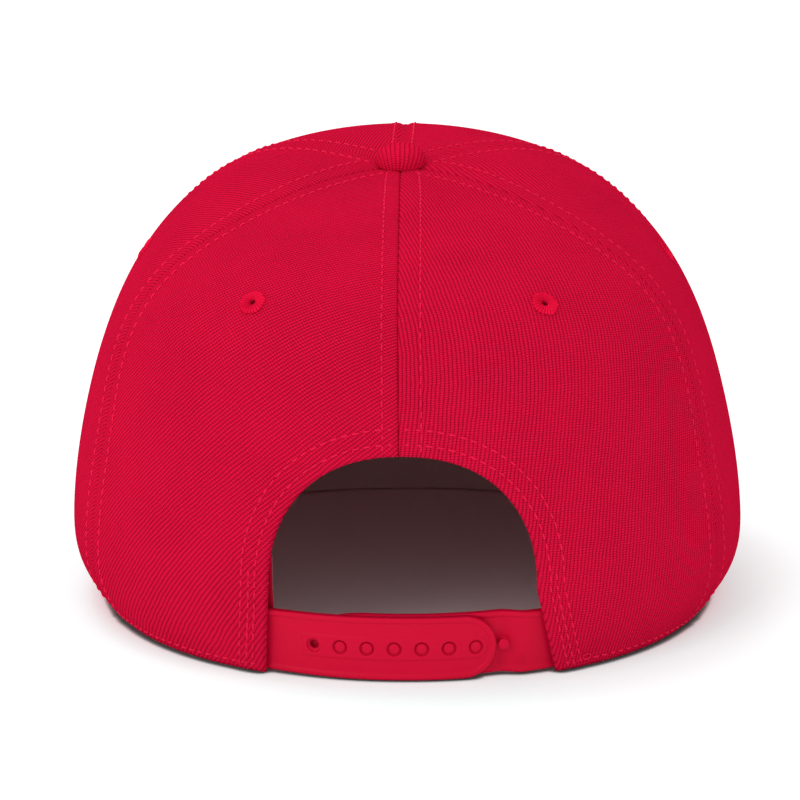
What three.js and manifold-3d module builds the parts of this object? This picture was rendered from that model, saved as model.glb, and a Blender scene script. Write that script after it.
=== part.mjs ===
// Snapback cap: a six-panel cloth crown that stands on its rim, a stiff visor at the front, and a
// two-part snap strap across an arched opening at the back. Millimetres, +Z up, visor towards -Y,
// wearer's left towards +X. Directions round the crown are in degrees from the back towards +X.
import * as THREE from 'three';
import { mergeVertices } from 'three/addons/utils/BufferGeometryUtils.js';
import Module from 'manifold-3d';

const wasm = await Module();
wasm.setup();

// Crown
const rimHalfWidth = 85.5; // rim's centre to either side
const rimBackReach = 98.5; // rim's centre to the back
const rimFrontReach = 96; // rim's centre to the front
const rimSquareness = 2.18; // exponent of the rim's oval, 2 is an ellipse
const crownHeight = 120; // rim to the top under the button
const apexBack = 3.4; // the top sits this far behind the rim's centre
const apexSide = 2.2; // and leans this far to the wearer's left
const clothWall = 1.6; // twill with its backing
const seamPull = 0.5; // the panels dip this much at a seam
const clearance = 0.3; // gap between pieces that touch

// Opening at the back
const openingHalfWidth = 34.9;
const openingSide = -0.3; // its middle lies this far towards the wearer's left
const openingTop = 59.9; // height of the arch's crest
const openingSpring = 24; // height where its legs end and the arch begins
const openingSquareness = 2.24; // exponent of the arch, 2 is half an ellipse
const openingSpreadLeft = 1.2; // the arch's feet stand this much wider at the rim
const openingSpreadRight = 5.3;

// Button on top
const buttonRadius = 7.1;
const buttonHeight = 5.2;
const buttonHole = 2.2; // radius left open where the panels meet
const buttonBevel = 0.5; // its underside is this much narrower
const buttonSide = 0.75; // height of its upright side
const shankRadius = 1.5;
const washerRadius = 4;
const washerThickness = 0.8;

// Eyelets
const eyeletRadius = 3.6;
const eyeletHole = 0.9; // radius of the open hole
const eyeletBarrel = 1.9; // radius where it passes the cloth
const eyeletRise = 0.7;
const eyeletBevel = 0.3; // rounding at the ring's outer edge
const eyeletShare = 0.795; // height of the ring, as a share of the crown's height

// Visor
const visorDepth = 70; // rim to the front edge
const visorHalfWidth = 88;
const visorSquareness = 2.4;
const visorRoot = 60; // its widest line lies this far before the rim's centre
const visorThickness = 3.2;
const visorArch = 5; // middle of the visor above its sides

// Sweatband
const bandThickness = 1.2;
const bandHeight = 31.5;
const bandInset = 0.6; // its lower edge above the rim
const bandPeek = 0.7; // its ends stand this far into the opening
const bandSeat = 0.8; // room between the band and what lies behind it
const bandPast = 2; // it keeps clear of the strap this far past its sewn end
const bandEasing = 12; // and comes back to the cloth over this length

// Snap strap: the outer half has the holes, the under half has the pegs
const strapHeight = 17.1;
const strapLift = 0.15; // its lower edge above the rim's plane
const strapBow = 1.2; // it bows out past the crown's own curve by this much in the middle
const strapField = 1.4; // thickness inside its borders
const strapBorder = 1.5; // width of the raised borders
const borderRise = 0.45;
const strapTab = 13; // length sewn behind the cloth
const strapSeat = 0.5; // room between the cloth and the strap behind it
const snapPitch = 7.15;
const firstHoleInset = 12.7; // left foot of the opening to the first hole
const lastHoleInset = 15; // least room from the last hole to the right foot
const endMargin = 5.5; // last hole to the end of the strap
const barePegReach = 0.5; // the peg past the strap's end stands this much more than a pitch on
const tonguePast = 3.2; // the under half's hidden end lies this far past the first hole
const tongueReach = 17; // length over which that end narrows
const stepInset = 1; // the under half starts to step out this far past the outer half
const padHalfHeight = 3.2; // raised pad round the holes
const padRise = 0.2;
const recessRadius = 1.95;
const recessDepth = 0.7;
const boreRadius = 1.35;
const stemRadius = 1.05;
const headRadius = 1.5;
const headThickness = 0.5;
const headInset = 0.1; // top of a peg's head below the pad round the holes

// Crown sections by direction. The out columns are shares of the rim's reach in that direction,
// browUp is a share of the crown's height. Both sides of the cap use the same rows.
const sections = [
  { turn: 0, hem: 1.005, belly: 1.01, mid: 0.99, shoulder: 0.85, brow: 0.44, browUp: 0.948 },
  { turn: 50, hem: 1.06, belly: 1.09, mid: 1.035, shoulder: 0.855, brow: 0.41, browUp: 0.957 },
  { turn: 90, hem: 1.08, belly: 1.11, mid: 1.05, shoulder: 0.855, brow: 0.5, browUp: 0.99 },
  { turn: 130, hem: 1.03, belly: 1.05, mid: 1.085, shoulder: 0.935, brow: 0.53, browUp: 1.015 },
  { turn: 180, hem: 1.0, belly: 1.01, mid: 1.03, shoulder: 0.915, brow: 0.565, browUp: 1.035 },
];
// Heights of the stations as shares of the crown's height, and where each lies along a meridian
const stationUp = { rim: 0, hem: 0.075, belly: 0.21, mid: 0.5, shoulder: 0.8, top: 1 };
const stationAt = [0, 0.07, 0.19, 0.42, 0.63, 0.81, 1];
// Seam between a back and a side panel: its direction at shares of the meridian
const backSeam = [
  { at: 0, turn: 60 },
  { at: 0.35, turn: 57.5 },
  { at: 0.6, turn: 57 },
  { at: 0.75, turn: 54.5 },
  { at: 1, turn: 60 },
];
const frontSeamTurn = 120;
const liftFade = 0.5; // the rim's rise at the front dies out at this share of the height
const liftStartTurn = 98; // the rim leaves the ground here on its way up to the visor
const eyeletTurns = { back: 26.5, side: 93, front: 151 };

const radians = THREE.MathUtils.degToRad;
const mergeWithin = 1e-4; // points closer than this are one
const turnStep = 0.2; // degrees either side when a slope is measured
const shareStep = 0.002; // share of a meridian either side when a slope is measured
const topZone = 0.8; // the flat top starts at this share of a meridian
const overcut = 1; // a cut runs this far past the face that it opens

// Cubic curve through (xs, ys): ends without bend, or without slope when level is true
function cubicThrough(xs, ys, level = false) {
  const n = xs.length;
  const step = xs.slice(1).map((x, i) => x - xs[i]);
  const slope = step.map((h, i) => (ys[i + 1] - ys[i]) / h);
  const diagonal = [level ? 2 * step[0] : 1];
  const upper = [level ? step[0] : 0];
  const right = [level ? 6 * slope[0] : 0];
  for (let i = 1; i < n; i += 1) {
    const last = i === n - 1;
    const lower = last && !level ? 0 : step[i - 1];
    const across = last ? (level ? 2 * step[i - 1] : 1) : 2 * (step[i - 1] + step[i]);
    const value = last ? (level ? -6 * slope[i - 1] : 0) : 6 * (slope[i] - slope[i - 1]);
    const factor = lower / diagonal[i - 1];
    diagonal.push(across - factor * upper[i - 1]);
    upper.push(last ? 0 : step[i]);
    right.push(value - factor * right[i - 1]);
  }
  const bend = new Array(n).fill(0);
  bend[n - 1] = right[n - 1] / diagonal[n - 1];
  for (let i = n - 2; i >= 0; i -= 1) {
    bend[i] = (right[i] - upper[i] * bend[i + 1]) / diagonal[i];
  }
  return (x) => {
    let i = 0;
    while (i < n - 2 && x > xs[i + 1]) i += 1;
    const h = step[i];
    const before = (xs[i + 1] - x) / h;
    const after = (x - xs[i]) / h;
    const bulge = ((before ** 3 - before) * bend[i] + (after ** 3 - after) * bend[i + 1]) * h * h / 6;
    return before * ys[i] + after * ys[i + 1] + bulge;
  };
}

function smoothStep(x, from, to) {
  const share = THREE.MathUtils.clamp((x - from) / (to - from), 0, 1);
  return share * share * (3 - 2 * share);
}

// Value between low and high where a rising function reaches the target
function solveRising(rising, target, low, high) {
  for (let i = 0; i < 40; i += 1) {
    const middle = (low + high) / 2;
    if (rising(middle) < target) low = middle;
    else high = middle;
  }
  return (low + high) / 2;
}

// Crown surface
const turns = sections.map((row) => row.turn);
const byTurn = (name) => cubicThrough(turns, sections.map((row) => row[name]), true);
const shareAt = {
  hem: byTurn('hem'),
  belly: byTurn('belly'),
  mid: byTurn('mid'),
  shoulder: byTurn('shoulder'),
  brow: byTurn('brow'),
  browUp: byTurn('browUp'),
};
const seamTurnAt = cubicThrough(backSeam.map((row) => row.at), backSeam.map((row) => row.turn));

function rimReach(turn) {
  const across = Math.abs(Math.sin(radians(turn))) / rimHalfWidth;
  const cosine = Math.cos(radians(turn));
  const along = Math.abs(cosine) / (cosine > 0 ? rimBackReach : rimFrontReach);
  return (across ** rimSquareness + along ** rimSquareness) ** (-1 / rimSquareness);
}

// Underside of the visor: highest in the middle, on the ground at its sides
function visorUnderside(x) {
  return visorArch * Math.max(0, 1 - (x / visorHalfWidth) ** 2);
}

// Rim above the ground: level at the back and sides, on top of the visor at the front
function rimLift(turn) {
  const side = Math.min(Math.abs(turn), 360 - Math.abs(turn));
  const x = rimReach(turn) * Math.sin(radians(side));
  const onVisor = visorUnderside(x) + visorThickness + clearance;
  return onVisor * smoothStep(side, liftStartTurn, frontSeamTurn);
}

const meridians = new Map();
function meridian(turn) {
  if (!meridians.has(turn)) {
    const side = Math.abs(turn) > 180 ? 360 - Math.abs(turn) : Math.abs(turn);
    const out = [1, shareAt.hem(side), shareAt.belly(side), shareAt.mid(side),
      shareAt.shoulder(side), shareAt.brow(side), 0];
    const up = [stationUp.rim, stationUp.hem, stationUp.belly, stationUp.mid,
      stationUp.shoulder, shareAt.browUp(side), stationUp.top];
    meridians.set(turn, {
      out: cubicThrough(stationAt, out),
      up: cubicThrough(stationAt, up),
      reach: rimReach(turn),
      lift: rimLift(turn),
    });
  }
  return meridians.get(turn);
}

// Point of the crown's outer skin at a direction and a share of the meridian from rim to top
function skinPoint(turn, at) {
  const line = meridian(turn);
  const radius = line.out(at) * line.reach;
  const up = line.up(at);
  const fade = Math.max(0, 1 - up / liftFade) ** 2;
  const lean = Math.max(0, at) ** 1.5;
  return new THREE.Vector3(
    Math.sin(radians(turn)) * radius + apexSide * lean,
    Math.cos(radians(turn)) * radius + apexBack * lean,
    crownHeight * up + line.lift * fade,
  );
}

function skinNormal(turn, at) {
  const alongRim = skinPoint(turn + turnStep, at).sub(skinPoint(turn - turnStep, at));
  const low = Math.max(0, at - shareStep);
  const upward = skinPoint(turn, at + shareStep).sub(skinPoint(turn, low));
  const normal = upward.cross(alongRim);
  if (at === 0) normal.z = 0;
  return normal.normalize();
}

// Point this far inside the outer skin
function insidePoint(turn, at, depth) {
  return skinPoint(turn, at).addScaledVector(skinNormal(turn, at), -depth);
}

const shareAtHeight = (turn, z) => solveRising((at) => skinPoint(turn, at).z, z, 0, 0.5);
const planRadius = (turn, at) => meridian(turn).out(at) * meridian(turn).reach;

// Solids from grids of points
function signedVolume(points, faces) {
  let volume = 0;
  const cross = new THREE.Vector3();
  for (let i = 0; i < faces.length; i += 3) {
    cross.crossVectors(points[faces[i + 1]], points[faces[i + 2]]);
    volume += points[faces[i]].dot(cross) / 6;
  }
  return volume;
}

function geometryFrom(points, faces) {
  const facing = signedVolume(points, faces) > 0 ? faces : faces.slice().reverse();
  const geometry = new THREE.BufferGeometry().setFromPoints(points);
  geometry.setIndex(facing);
  geometry.computeVertexNormals();
  return geometry;
}

// Closed wall between two skins, each a function of a column's and a row's share
function wallBetween(columnShares, rowShares, outer, inner) {
  const columns = columnShares.length;
  const rows = rowShares.length;
  const skin = columns * rows;
  const points = [];
  for (const side of [outer, inner]) {
    for (const u of columnShares) {
      for (const v of rowShares) points.push(side(u, v));
    }
  }
  const faces = [];
  const quad = (a, b, c, d) => faces.push(a, b, c, a, c, d);
  const corner = (side, i, j) => side * skin + i * rows + j;
  for (let i = 0; i < columns - 1; i += 1) {
    for (let j = 0; j < rows - 1; j += 1) {
      quad(corner(0, i, j), corner(0, i, j + 1), corner(0, i + 1, j + 1), corner(0, i + 1, j));
      quad(corner(1, i, j), corner(1, i + 1, j), corner(1, i + 1, j + 1), corner(1, i, j + 1));
    }
  }
  for (let i = 0; i < columns - 1; i += 1) {
    const top = rows - 1;
    quad(corner(0, i, 0), corner(0, i + 1, 0), corner(1, i + 1, 0), corner(1, i, 0));
    quad(corner(0, i, top), corner(1, i, top), corner(1, i + 1, top), corner(0, i + 1, top));
  }
  for (let j = 0; j < rows - 1; j += 1) {
    const far = columns - 1;
    quad(corner(0, 0, j), corner(1, 0, j), corner(1, 0, j + 1), corner(0, 0, j + 1));
    quad(corner(0, far, j), corner(0, far, j + 1), corner(1, far, j + 1), corner(1, far, j));
  }
  return geometryFrom(points, faces);
}

const evenShares = (count) => Array.from({ length: count + 1 }, (_, i) => i / count);
const roundedShares = (count) => evenShares(count).map((u) => (1 - Math.cos(Math.PI * u)) / 2);
const easedShares = (count) => roundedShares(count).map((u, i) => (u + i / count) / 2);

function toSolid(geometry) {
  const bare = geometry.clone();
  bare.deleteAttribute('normal');
  bare.deleteAttribute('uv');
  const merged = mergeVertices(bare, mergeWithin);
  const mesh = new wasm.Mesh({
    numProp: 3,
    vertProperties: new Float32Array(merged.attributes.position.array),
    triVerts: new Uint32Array(merged.index.array),
  });
  return new wasm.Manifold(mesh);
}

function fromSolid(solid) {
  const mesh = solid.getMesh();
  const geometry = new THREE.BufferGeometry();
  geometry.setAttribute('position', new THREE.BufferAttribute(mesh.vertProperties, 3));
  geometry.setIndex(new THREE.BufferAttribute(mesh.triVerts, 1));
  geometry.computeVertexNormals();
  return geometry;
}

// Turned piece: a closed profile of (radius, height) pairs carried round the up axis
function turned(profile, sides) {
  const outline = profile.map(([radius, height]) => new THREE.Vector2(radius, height));
  const lathe = new THREE.LatheGeometry(outline, sides);
  lathe.rotateX(Math.PI / 2);
  lathe.deleteAttribute('normal');
  lathe.deleteAttribute('uv');
  const merged = mergeVertices(lathe, mergeWithin);
  const position = merged.attributes.position;
  const points = [];
  for (let i = 0; i < position.count; i += 1) {
    points.push(new THREE.Vector3().fromBufferAttribute(position, i));
  }
  const faces = [];
  for (let i = 0; i < merged.index.count; i += 3) {
    const [a, b, c] = [0, 1, 2].map((k) => merged.index.getX(i + k));
    if (a !== b && b !== c && c !== a) faces.push(a, b, c);
  }
  return geometryFrom(points, faces);
}

// Puts a piece made along the up axis at a point, with its axis along the given direction
function aimed(geometry, point, direction) {
  const turn = new THREE.Quaternion().setFromUnitVectors(new THREE.Vector3(0, 0, 1), direction);
  const place = new THREE.Matrix4().compose(point, turn, new THREE.Vector3(1, 1, 1));
  return geometry.applyMatrix4(place);
}

// Crown panels
const seamColumn = 0.03; // the dip at a seam ends this share into the panel
const panelColumns = [0, seamColumn, 0.09, 0.22, 0.36, 0.5, 0.64, 0.78, 0.91, 1 - seamColumn, 1];
const panelRows = evenShares(18);
const archSegments = 28;

// Direction of a seam, counted from the back seam round through the wearer's left
const seamTurns = [
  () => 0,
  (at) => seamTurnAt(at),
  () => frontSeamTurn,
  () => 180,
  () => 360 - frontSeamTurn,
  (at) => 360 - seamTurnAt(at),
  () => 360,
];

function panelTurn(seam, u, at) {
  const middle = (seamTurns[seam](at) + seamTurns[seam + 1](at)) / 2;
  const halfGap = THREE.MathUtils.radToDeg(clearance / 2 / planRadius(middle, at));
  const from = seamTurns[seam](at) + halfGap;
  const to = seamTurns[seam + 1](at) - halfGap;
  return from + (to - from) * u;
}

function panelWall(seam) {
  const centre = (seamTurns[seam](1) + seamTurns[seam + 1](1)) / 2;
  const topShare = solveRising((at) => -planRadius(centre, at), -buttonHole, topZone, 1);
  const point = (u, v, depth) => {
    const at = v * topShare;
    const turn = panelTurn(seam, u, at);
    const fromSeam = Math.min(u, 1 - u) / seamColumn;
    const dip = seamPull * Math.max(0, 1 - fromSeam) * (1 - v);
    return insidePoint(turn, at, depth + dip);
  };
  const outer = (u, v) => point(u, v, 0);
  const inner = (u, v) => point(u, v, clothWall);
  return wallBetween(panelColumns, panelRows, outer, inner);
}

// Sides of the opening at a height on its legs
function openingLeftAt(z) {
  return openingSide + openingHalfWidth + openingSpreadLeft * (1 - z / openingSpring);
}
function openingRightAt(z) {
  return openingSide - openingHalfWidth - openingSpreadRight * (1 - z / openingSpring);
}

// Block that cuts the opening: legs that spread towards the rim, and a squared half oval above
function openingBlock() {
  const below = -openingSpring / 4;
  const outline = new THREE.Shape();
  outline.moveTo(openingRightAt(below), below);
  outline.lineTo(openingLeftAt(below), below);
  for (let i = 0; i <= archSegments; i += 1) {
    const angle = (Math.PI * i) / archSegments;
    const across = Math.sign(Math.cos(angle)) * Math.abs(Math.cos(angle)) ** (2 / openingSquareness);
    const up = Math.sin(angle) ** (2 / openingSquareness);
    outline.lineTo(openingSide + openingHalfWidth * across,
      openingSpring + (openingTop - openingSpring) * up);
  }
  outline.closePath();
  const block = new THREE.ExtrudeGeometry(outline, { depth: rimBackReach, bevelEnabled: false });
  block.rotateX(Math.PI / 2);
  block.translate(0, 1.5 * rimBackReach, 0);
  return block;
}

const eyeletSides = 12;

function eyeletPlace(turn) {
  const height = eyeletShare * crownHeight;
  const at = solveRising((share) => skinPoint(turn, share).z, height, stationAt[3], topZone);
  return { point: skinPoint(turn, at), direction: skinNormal(turn, at) };
}

function eyeletDrill(turn) {
  const { point, direction } = eyeletPlace(turn);
  const radius = eyeletBarrel + clearance;
  const drill = new THREE.CylinderGeometry(radius, radius, 6 * clothWall, eyeletSides + 2);
  drill.rotateX(Math.PI / 2);
  return aimed(drill, point, direction);
}

function eyelet(turn) {
  const { point, direction } = eyeletPlace(turn);
  const under = -clothWall - clearance;
  const crest = clearance + eyeletRise;
  const ring = turned([
    [eyeletHole, under],
    [eyeletBarrel, under],
    [eyeletBarrel, clearance],
    [eyeletRadius, clearance],
    [eyeletRadius - eyeletBevel, crest - eyeletBevel],
    [(eyeletRadius + eyeletHole) / 2, crest],
    [eyeletHole, crest - eyeletBevel],
    [eyeletHole, under],
  ], eyeletSides);
  return aimed(ring, point, direction);
}

// Button: a dome on a shank that passes between the panels to a washer inside
const buttonSides = 20;
const domeSteps = 6;
const domeFullness = 0.8; // 1 is a half ellipse, less is flatter on top

// Point of the skin this far from the top in plan
function skinNearTop(turn, radius) {
  const at = solveRising((share) => -planRadius(turn, share), -radius, topZone, 1);
  return skinPoint(turn, at);
}

function button() {
  const front = skinNearTop(180, buttonRadius);
  const back = skinNearTop(0, buttonRadius);
  const tilt = Math.atan2(front.z - back.z, back.y - front.y);
  const axis = new THREE.Vector3(0, Math.sin(tilt), Math.cos(tilt));
  const seat = new THREE.Vector3(apexSide, apexBack, (front.z + back.z) / 2);
  const probes = [];
  for (let turn = 0; turn < 360; turn += 15) {
    for (const share of [0.3, 0.6, 1]) {
      probes.push(skinNearTop(turn, buttonRadius * share).sub(seat).dot(axis));
    }
  }
  const highest = Math.max(...probes);
  const lowest = Math.min(...probes);
  const base = highest + clearance;
  const washerTop = lowest - clothWall - 2 * clearance;
  const profile = [
    [0, washerTop - washerThickness],
    [washerRadius, washerTop - washerThickness],
    [washerRadius, washerTop],
    [shankRadius, washerTop],
    [shankRadius, base],
    [buttonRadius - buttonBevel, base],
  ];
  for (let i = 0; i < domeSteps; i += 1) {
    const lean = (Math.PI / 2) * (i / domeSteps);
    const height = buttonSide + (buttonHeight - buttonSide) * Math.sin(lean);
    profile.push([buttonRadius * Math.cos(lean) ** domeFullness, base + height]);
  }
  profile.push([0, base + buttonHeight]);
  return aimed(turned(profile, buttonSides), seat, axis);
}

// Visor: a thin arched plate from the rim to a rounded outline
const visorColumns = 30;
const visorRows = [0, 0.2, 0.42, 0.64, 0.84, 0.95, 1];
const visorEdge = { 0.95: 0.85, 1: 0.4 }; // share of the thickness left at its outer edge
const visorSeamGap = 0.6; // degrees from the front seam to the visor's corner
const visorCornerTurn = 9; // the corner is rounded over this many degrees
const visorCornerStart = 0.8; // and starts this many degrees into the rounding

function visorReach(turn) {
  const sine = Math.abs(Math.sin(radians(turn)));
  const cosine = Math.abs(Math.cos(radians(turn)));
  const length = rimFrontReach + visorDepth - visorRoot;
  const outside = (radius) => {
    const across = (radius * sine) / visorHalfWidth;
    const along = Math.max(0, radius * cosine - visorRoot) / length;
    return across ** visorSquareness + along ** visorSquareness;
  };
  return solveRising(outside, 1, 0, rimFrontReach + 2 * visorDepth);
}

function visor() {
  const firstTurn = frontSeamTurn + visorSeamGap;
  const plan = (u, v) => {
    const turn = firstTurn + (360 - 2 * firstTurn) * u;
    const fromCorner = Math.min(turn, 360 - turn) - firstTurn + visorCornerStart;
    const rounding = Math.sqrt(1 - (1 - Math.min(1, fromCorner / visorCornerTurn)) ** 2);
    const inner = rimReach(turn) - clothWall;
    const outer = rimReach(turn) + (visorReach(turn) - rimReach(turn)) * rounding;
    const radius = inner + (outer - inner) * v;
    return new THREE.Vector2(Math.sin(radians(turn)) * radius, Math.cos(radians(turn)) * radius);
  };
  const face = (u, v, side) => {
    const { x, y } = plan(u, v);
    const half = (visorThickness / 2) * (visorEdge[v] ?? 1);
    return new THREE.Vector3(x, y, visorUnderside(x) + visorThickness / 2 + side * half);
  };
  const upper = (u, v) => face(u, v, 1);
  const lower = (u, v) => face(u, v, -1);
  return wallBetween(roundedShares(visorColumns), visorRows, upper, lower);
}

// Snap strap, laid out along the crown's own skin across the opening
const strapColumns = 18;
const padColumns = 9;
const snapSides = 10; // sides of the holes and pegs
const strapMiddle = strapLift + strapHeight / 2;
const strapOuterDepth = clothWall + strapSeat; // outer half, from the crown's skin to its borders
const strapThickness = strapField + borderRise;
const strapUnderDepth = strapOuterDepth + strapThickness + clearance;

// Length along the skin at the strap's middle, measured from the back seam, and its inverse
const lengthTable = [{ turn: 0, length: 0 }];
for (let turn = 1; turn <= backSeam[0].turn; turn += 1) {
  const before = skinPoint(turn - 1, shareAtHeight(turn - 1, strapMiddle));
  const here = skinPoint(turn, shareAtHeight(turn, strapMiddle));
  lengthTable.push({ turn, length: lengthTable[turn - 1].length + here.distanceTo(before) });
}
function turnAlong(length) {
  const size = Math.abs(length);
  const next = lengthTable.findIndex((row) => row.length >= size);
  const after = lengthTable[Math.max(1, next)];
  const before = lengthTable[Math.max(1, next) - 1];
  const share = (size - before.length) / (after.length - before.length);
  return Math.sign(length) * (before.turn + share * (after.turn - before.turn));
}
function lengthToSide(x) {
  const across = (length) => {
    const turn = turnAlong(length);
    return skinPoint(turn, shareAtHeight(turn, strapMiddle)).x;
  };
  return solveRising(across, x, 0, lengthTable[lengthTable.length - 1].length);
}

const leftFoot = lengthToSide(openingLeftAt(strapMiddle));
const rightFoot = -lengthToSide(-openingRightAt(strapMiddle));
const rightEdge = -lengthToSide(-openingRightAt(openingSpring));
const firstHole = leftFoot - firstHoleInset;
const holeCount = 1 + Math.max(1, Math.floor((firstHole - rightEdge - lastHoleInset) / snapPitch));
const holes = Array.from({ length: holeCount }, (_, i) => firstHole - i * snapPitch);
const pegs = holes.slice(1).concat(firstHole - holeCount * snapPitch - barePegReach);
const outerEnd = holes[holeCount - 1] - endMargin;
const underEnd = firstHole + tonguePast;
const stepFrom = outerEnd - stepInset;
const stepTo = rightEdge + 2 * stepInset;

// Place at a length along the strap, a height above its middle and a depth inside the skin
function strapPoint(length, height, depth) {
  const turn = turnAlong(length);
  const bow = strapBow * Math.max(0, 1 - (length / rightEdge) ** 2) ** 2;
  const at = shareAtHeight(turn, Math.max(0.01, strapMiddle + height));
  const flat = skinNormal(turn, shareAtHeight(turn, strapMiddle));
  return skinPoint(turn, at).addScaledVector(flat, bow - depth);
}

// How far the skin bulges past a strap that is flat across its width
function skinBulge(turn) {
  const low = skinPoint(turn, shareAtHeight(turn, strapLift));
  const high = skinPoint(turn, shareAtHeight(turn, strapLift + strapHeight));
  const middle = skinPoint(turn, shareAtHeight(turn, strapMiddle));
  return middle.distanceTo(low.add(high).multiplyScalar(0.5));
}

// The under half steps out to the cloth once it has left the outer half
function underStep(length) {
  return (strapOuterDepth - strapUnderDepth) * smoothStep(-length, -stepFrom, -stepTo);
}

// Plate on the strap's surface: halfHeight gives its outline at a length along the strap
function strapPlate(from, to, halfHeight, nearDepth, farDepth, columns) {
  const point = (u, v, depth) => {
    const length = from + (to - from) * u;
    return strapPoint(length, (2 * v - 1) * halfHeight(length), depth(length));
  };
  const near = (u, v) => point(u, v, nearDepth);
  const far = (u, v) => point(u, v, farDepth);
  return toSolid(wallBetween(roundedShares(columns), [0, 1], near, far));
}

// Half height of a strip whose end is rounded: end is its tip, inward points along the strip
const tipShare = 0.02; // share of the half height where the tip is cut off
function roundEnd(half, end, inward, reach = half) {
  return (length) => {
    const fromTip = Math.min(reach, Math.max(tipShare * reach, (length - end) * inward));
    return half * Math.sqrt(1 - (1 - fromTip / reach) ** 2);
  };
}

function strapPeg(length, shift, parts) {
  const outward = skinNormal(turnAlong(length), shareAtHeight(turnAlong(length), strapMiddle));
  const base = strapPoint(length, 0, strapUnderDepth + shift);
  return parts.map(([radius, low, high]) => {
    const disc = new THREE.CylinderGeometry(radius, radius, high - low, snapSides);
    disc.rotateX(Math.PI / 2);
    disc.translate(0, 0, (low + high) / 2);
    return toSolid(aimed(disc, base, outward));
  });
}

const padTop = strapUnderDepth - strapOuterDepth - borderRise + padRise; // pad above the under half
const recessFloor = padTop - recessDepth;

function strapLeft() {
  const start = leftFoot + strapTab;
  const half = strapHeight / 2;
  const pocketEnd = outerEnd + strapBorder;
  const padEnd = holes[holeCount - 1] - padHalfHeight;
  const field = strapOuterDepth + borderRise;
  const back = strapOuterDepth + strapThickness;
  const plate = strapPlate(outerEnd, start, roundEnd(half, outerEnd, 1),
    () => strapOuterDepth, () => back, strapColumns);
  const pocket = strapPlate(pocketEnd, start + overcut, roundEnd(half - strapBorder, pocketEnd, 1),
    () => strapOuterDepth - overcut, () => field, strapColumns);
  const pad = strapPlate(padEnd, firstHole + padHalfHeight, roundEnd(padHalfHeight, padEnd, 1),
    () => field - padRise, () => back - strapField / 2, padColumns);
  let strap = plate.subtract(pocket).add(pad);
  for (const hole of holes) {
    const [recess, bore] = strapPeg(hole, 0, [
      [recessRadius, recessFloor, padTop + overcut],
      [boreRadius, -overcut, padTop],
    ]);
    strap = strap.subtract(recess).subtract(bore);
  }
  return fromSolid(strap);
}

function strapRight() {
  const start = rightFoot - strapTab;
  const half = strapHeight / 2;
  const pocketEnd = underEnd - strapBorder;
  const near = (length) => strapUnderDepth + underStep(length);
  const plate = strapPlate(start, underEnd, roundEnd(half, underEnd, -1, tongueReach),
    near, (length) => near(length) + strapThickness, strapColumns);
  const pocketReach = tongueReach - strapBorder;
  const pocket = strapPlate(start - overcut, pocketEnd,
    roundEnd(half - strapBorder, pocketEnd, -1, pocketReach),
    (length) => near(length) - overcut, (length) => near(length) + borderRise, strapColumns);
  let strap = plate.subtract(pocket);
  const headTop = padTop - headInset;
  for (const peg of pegs) {
    const [stem, head] = strapPeg(peg, underStep(peg), [
      [stemRadius, -borderRise - strapField / 2, headTop - headThickness / 2],
      [headRadius, headTop - headThickness, headTop],
    ]);
    strap = strap.add(stem).add(head);
  }
  return fromSolid(strap);
}

// Sweatband: follows the inside of the rim from one foot of the opening to the other, and
// passes behind the sewn ends of the strap
const bandColumns = 52;
const bandRows = 3;

function sweatband() {
  const startTurn = turnAlong(leftFoot - bandPeek);
  const endTurn = 360 + turnAlong(rightFoot + bandPeek);
  const clearTurn = turnAlong(leftFoot + strapTab + bandPast);
  const easyTurn = turnAlong(leftFoot + strapTab + bandPast + bandEasing);
  const near = clothWall + bandSeat;
  const deep = strapOuterDepth + strapThickness + skinBulge(clearTurn) + bandSeat;
  const depthAt = (turn) => {
    const side = Math.min(turn, 360 - turn);
    return deep + (near - deep) * smoothStep(side, clearTurn, easyTurn);
  };
  const point = (u, v, extra) => {
    const turn = startTurn + (endTurn - startTurn) * u;
    const foot = rimLift(turn) + bandInset;
    const z = foot + (bandHeight - bandInset) * v;
    const at = shareAtHeight(turn, z);
    return insidePoint(turn, at, depthAt(turn) + extra);
  };
  const outer = (u, v) => point(u, v, 0);
  const inner = (u, v) => point(u, v, bandThickness);
  return wallBetween(easedShares(bandColumns), evenShares(bandRows), outer, inner);
}

// Finishes
const twill = new THREE.MeshStandardMaterial({ color: 0xc81636, roughness: 0.9, metalness: 0 });
const thread = new THREE.MeshStandardMaterial({ color: 0xc2183a, roughness: 0.6, metalness: 0 });
const bandCloth = new THREE.MeshStandardMaterial({ color: 0xb01430, roughness: 0.95, metalness: 0 });
const snapPlastic = new THREE.MeshStandardMaterial({ color: 0xcc1539, roughness: 0.42, metalness: 0 });

const cap = new THREE.Group();
function addPiece(name, geometry, material) {
  const mesh = new THREE.Mesh(geometry, material.clone());
  mesh.name = name;
  cap.add(mesh);
}

const panels = [
  { name: 'panel_back_left', seam: 0, eyelet: eyeletTurns.back },
  { name: 'panel_side_left', seam: 1, eyelet: eyeletTurns.side },
  { name: 'panel_front_left', seam: 2, eyelet: eyeletTurns.front },
  { name: 'panel_front_right', seam: 3, eyelet: 360 - eyeletTurns.front },
  { name: 'panel_side_right', seam: 4, eyelet: 360 - eyeletTurns.side },
  { name: 'panel_back_right', seam: 5, eyelet: 360 - eyeletTurns.back },
];
for (const panel of panels) {
  let solid = toSolid(panelWall(panel.seam)).subtract(toSolid(eyeletDrill(panel.eyelet)));
  if (panel.name.includes('back')) solid = solid.subtract(toSolid(openingBlock()));
  addPiece(panel.name, fromSolid(solid), twill);
  addPiece(panel.name.replace('panel', 'eyelet'), eyelet(panel.eyelet), thread);
}
addPiece('button', button(), twill);
addPiece('visor', visor(), twill);
addPiece('sweatband', sweatband(), bandCloth);
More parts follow.
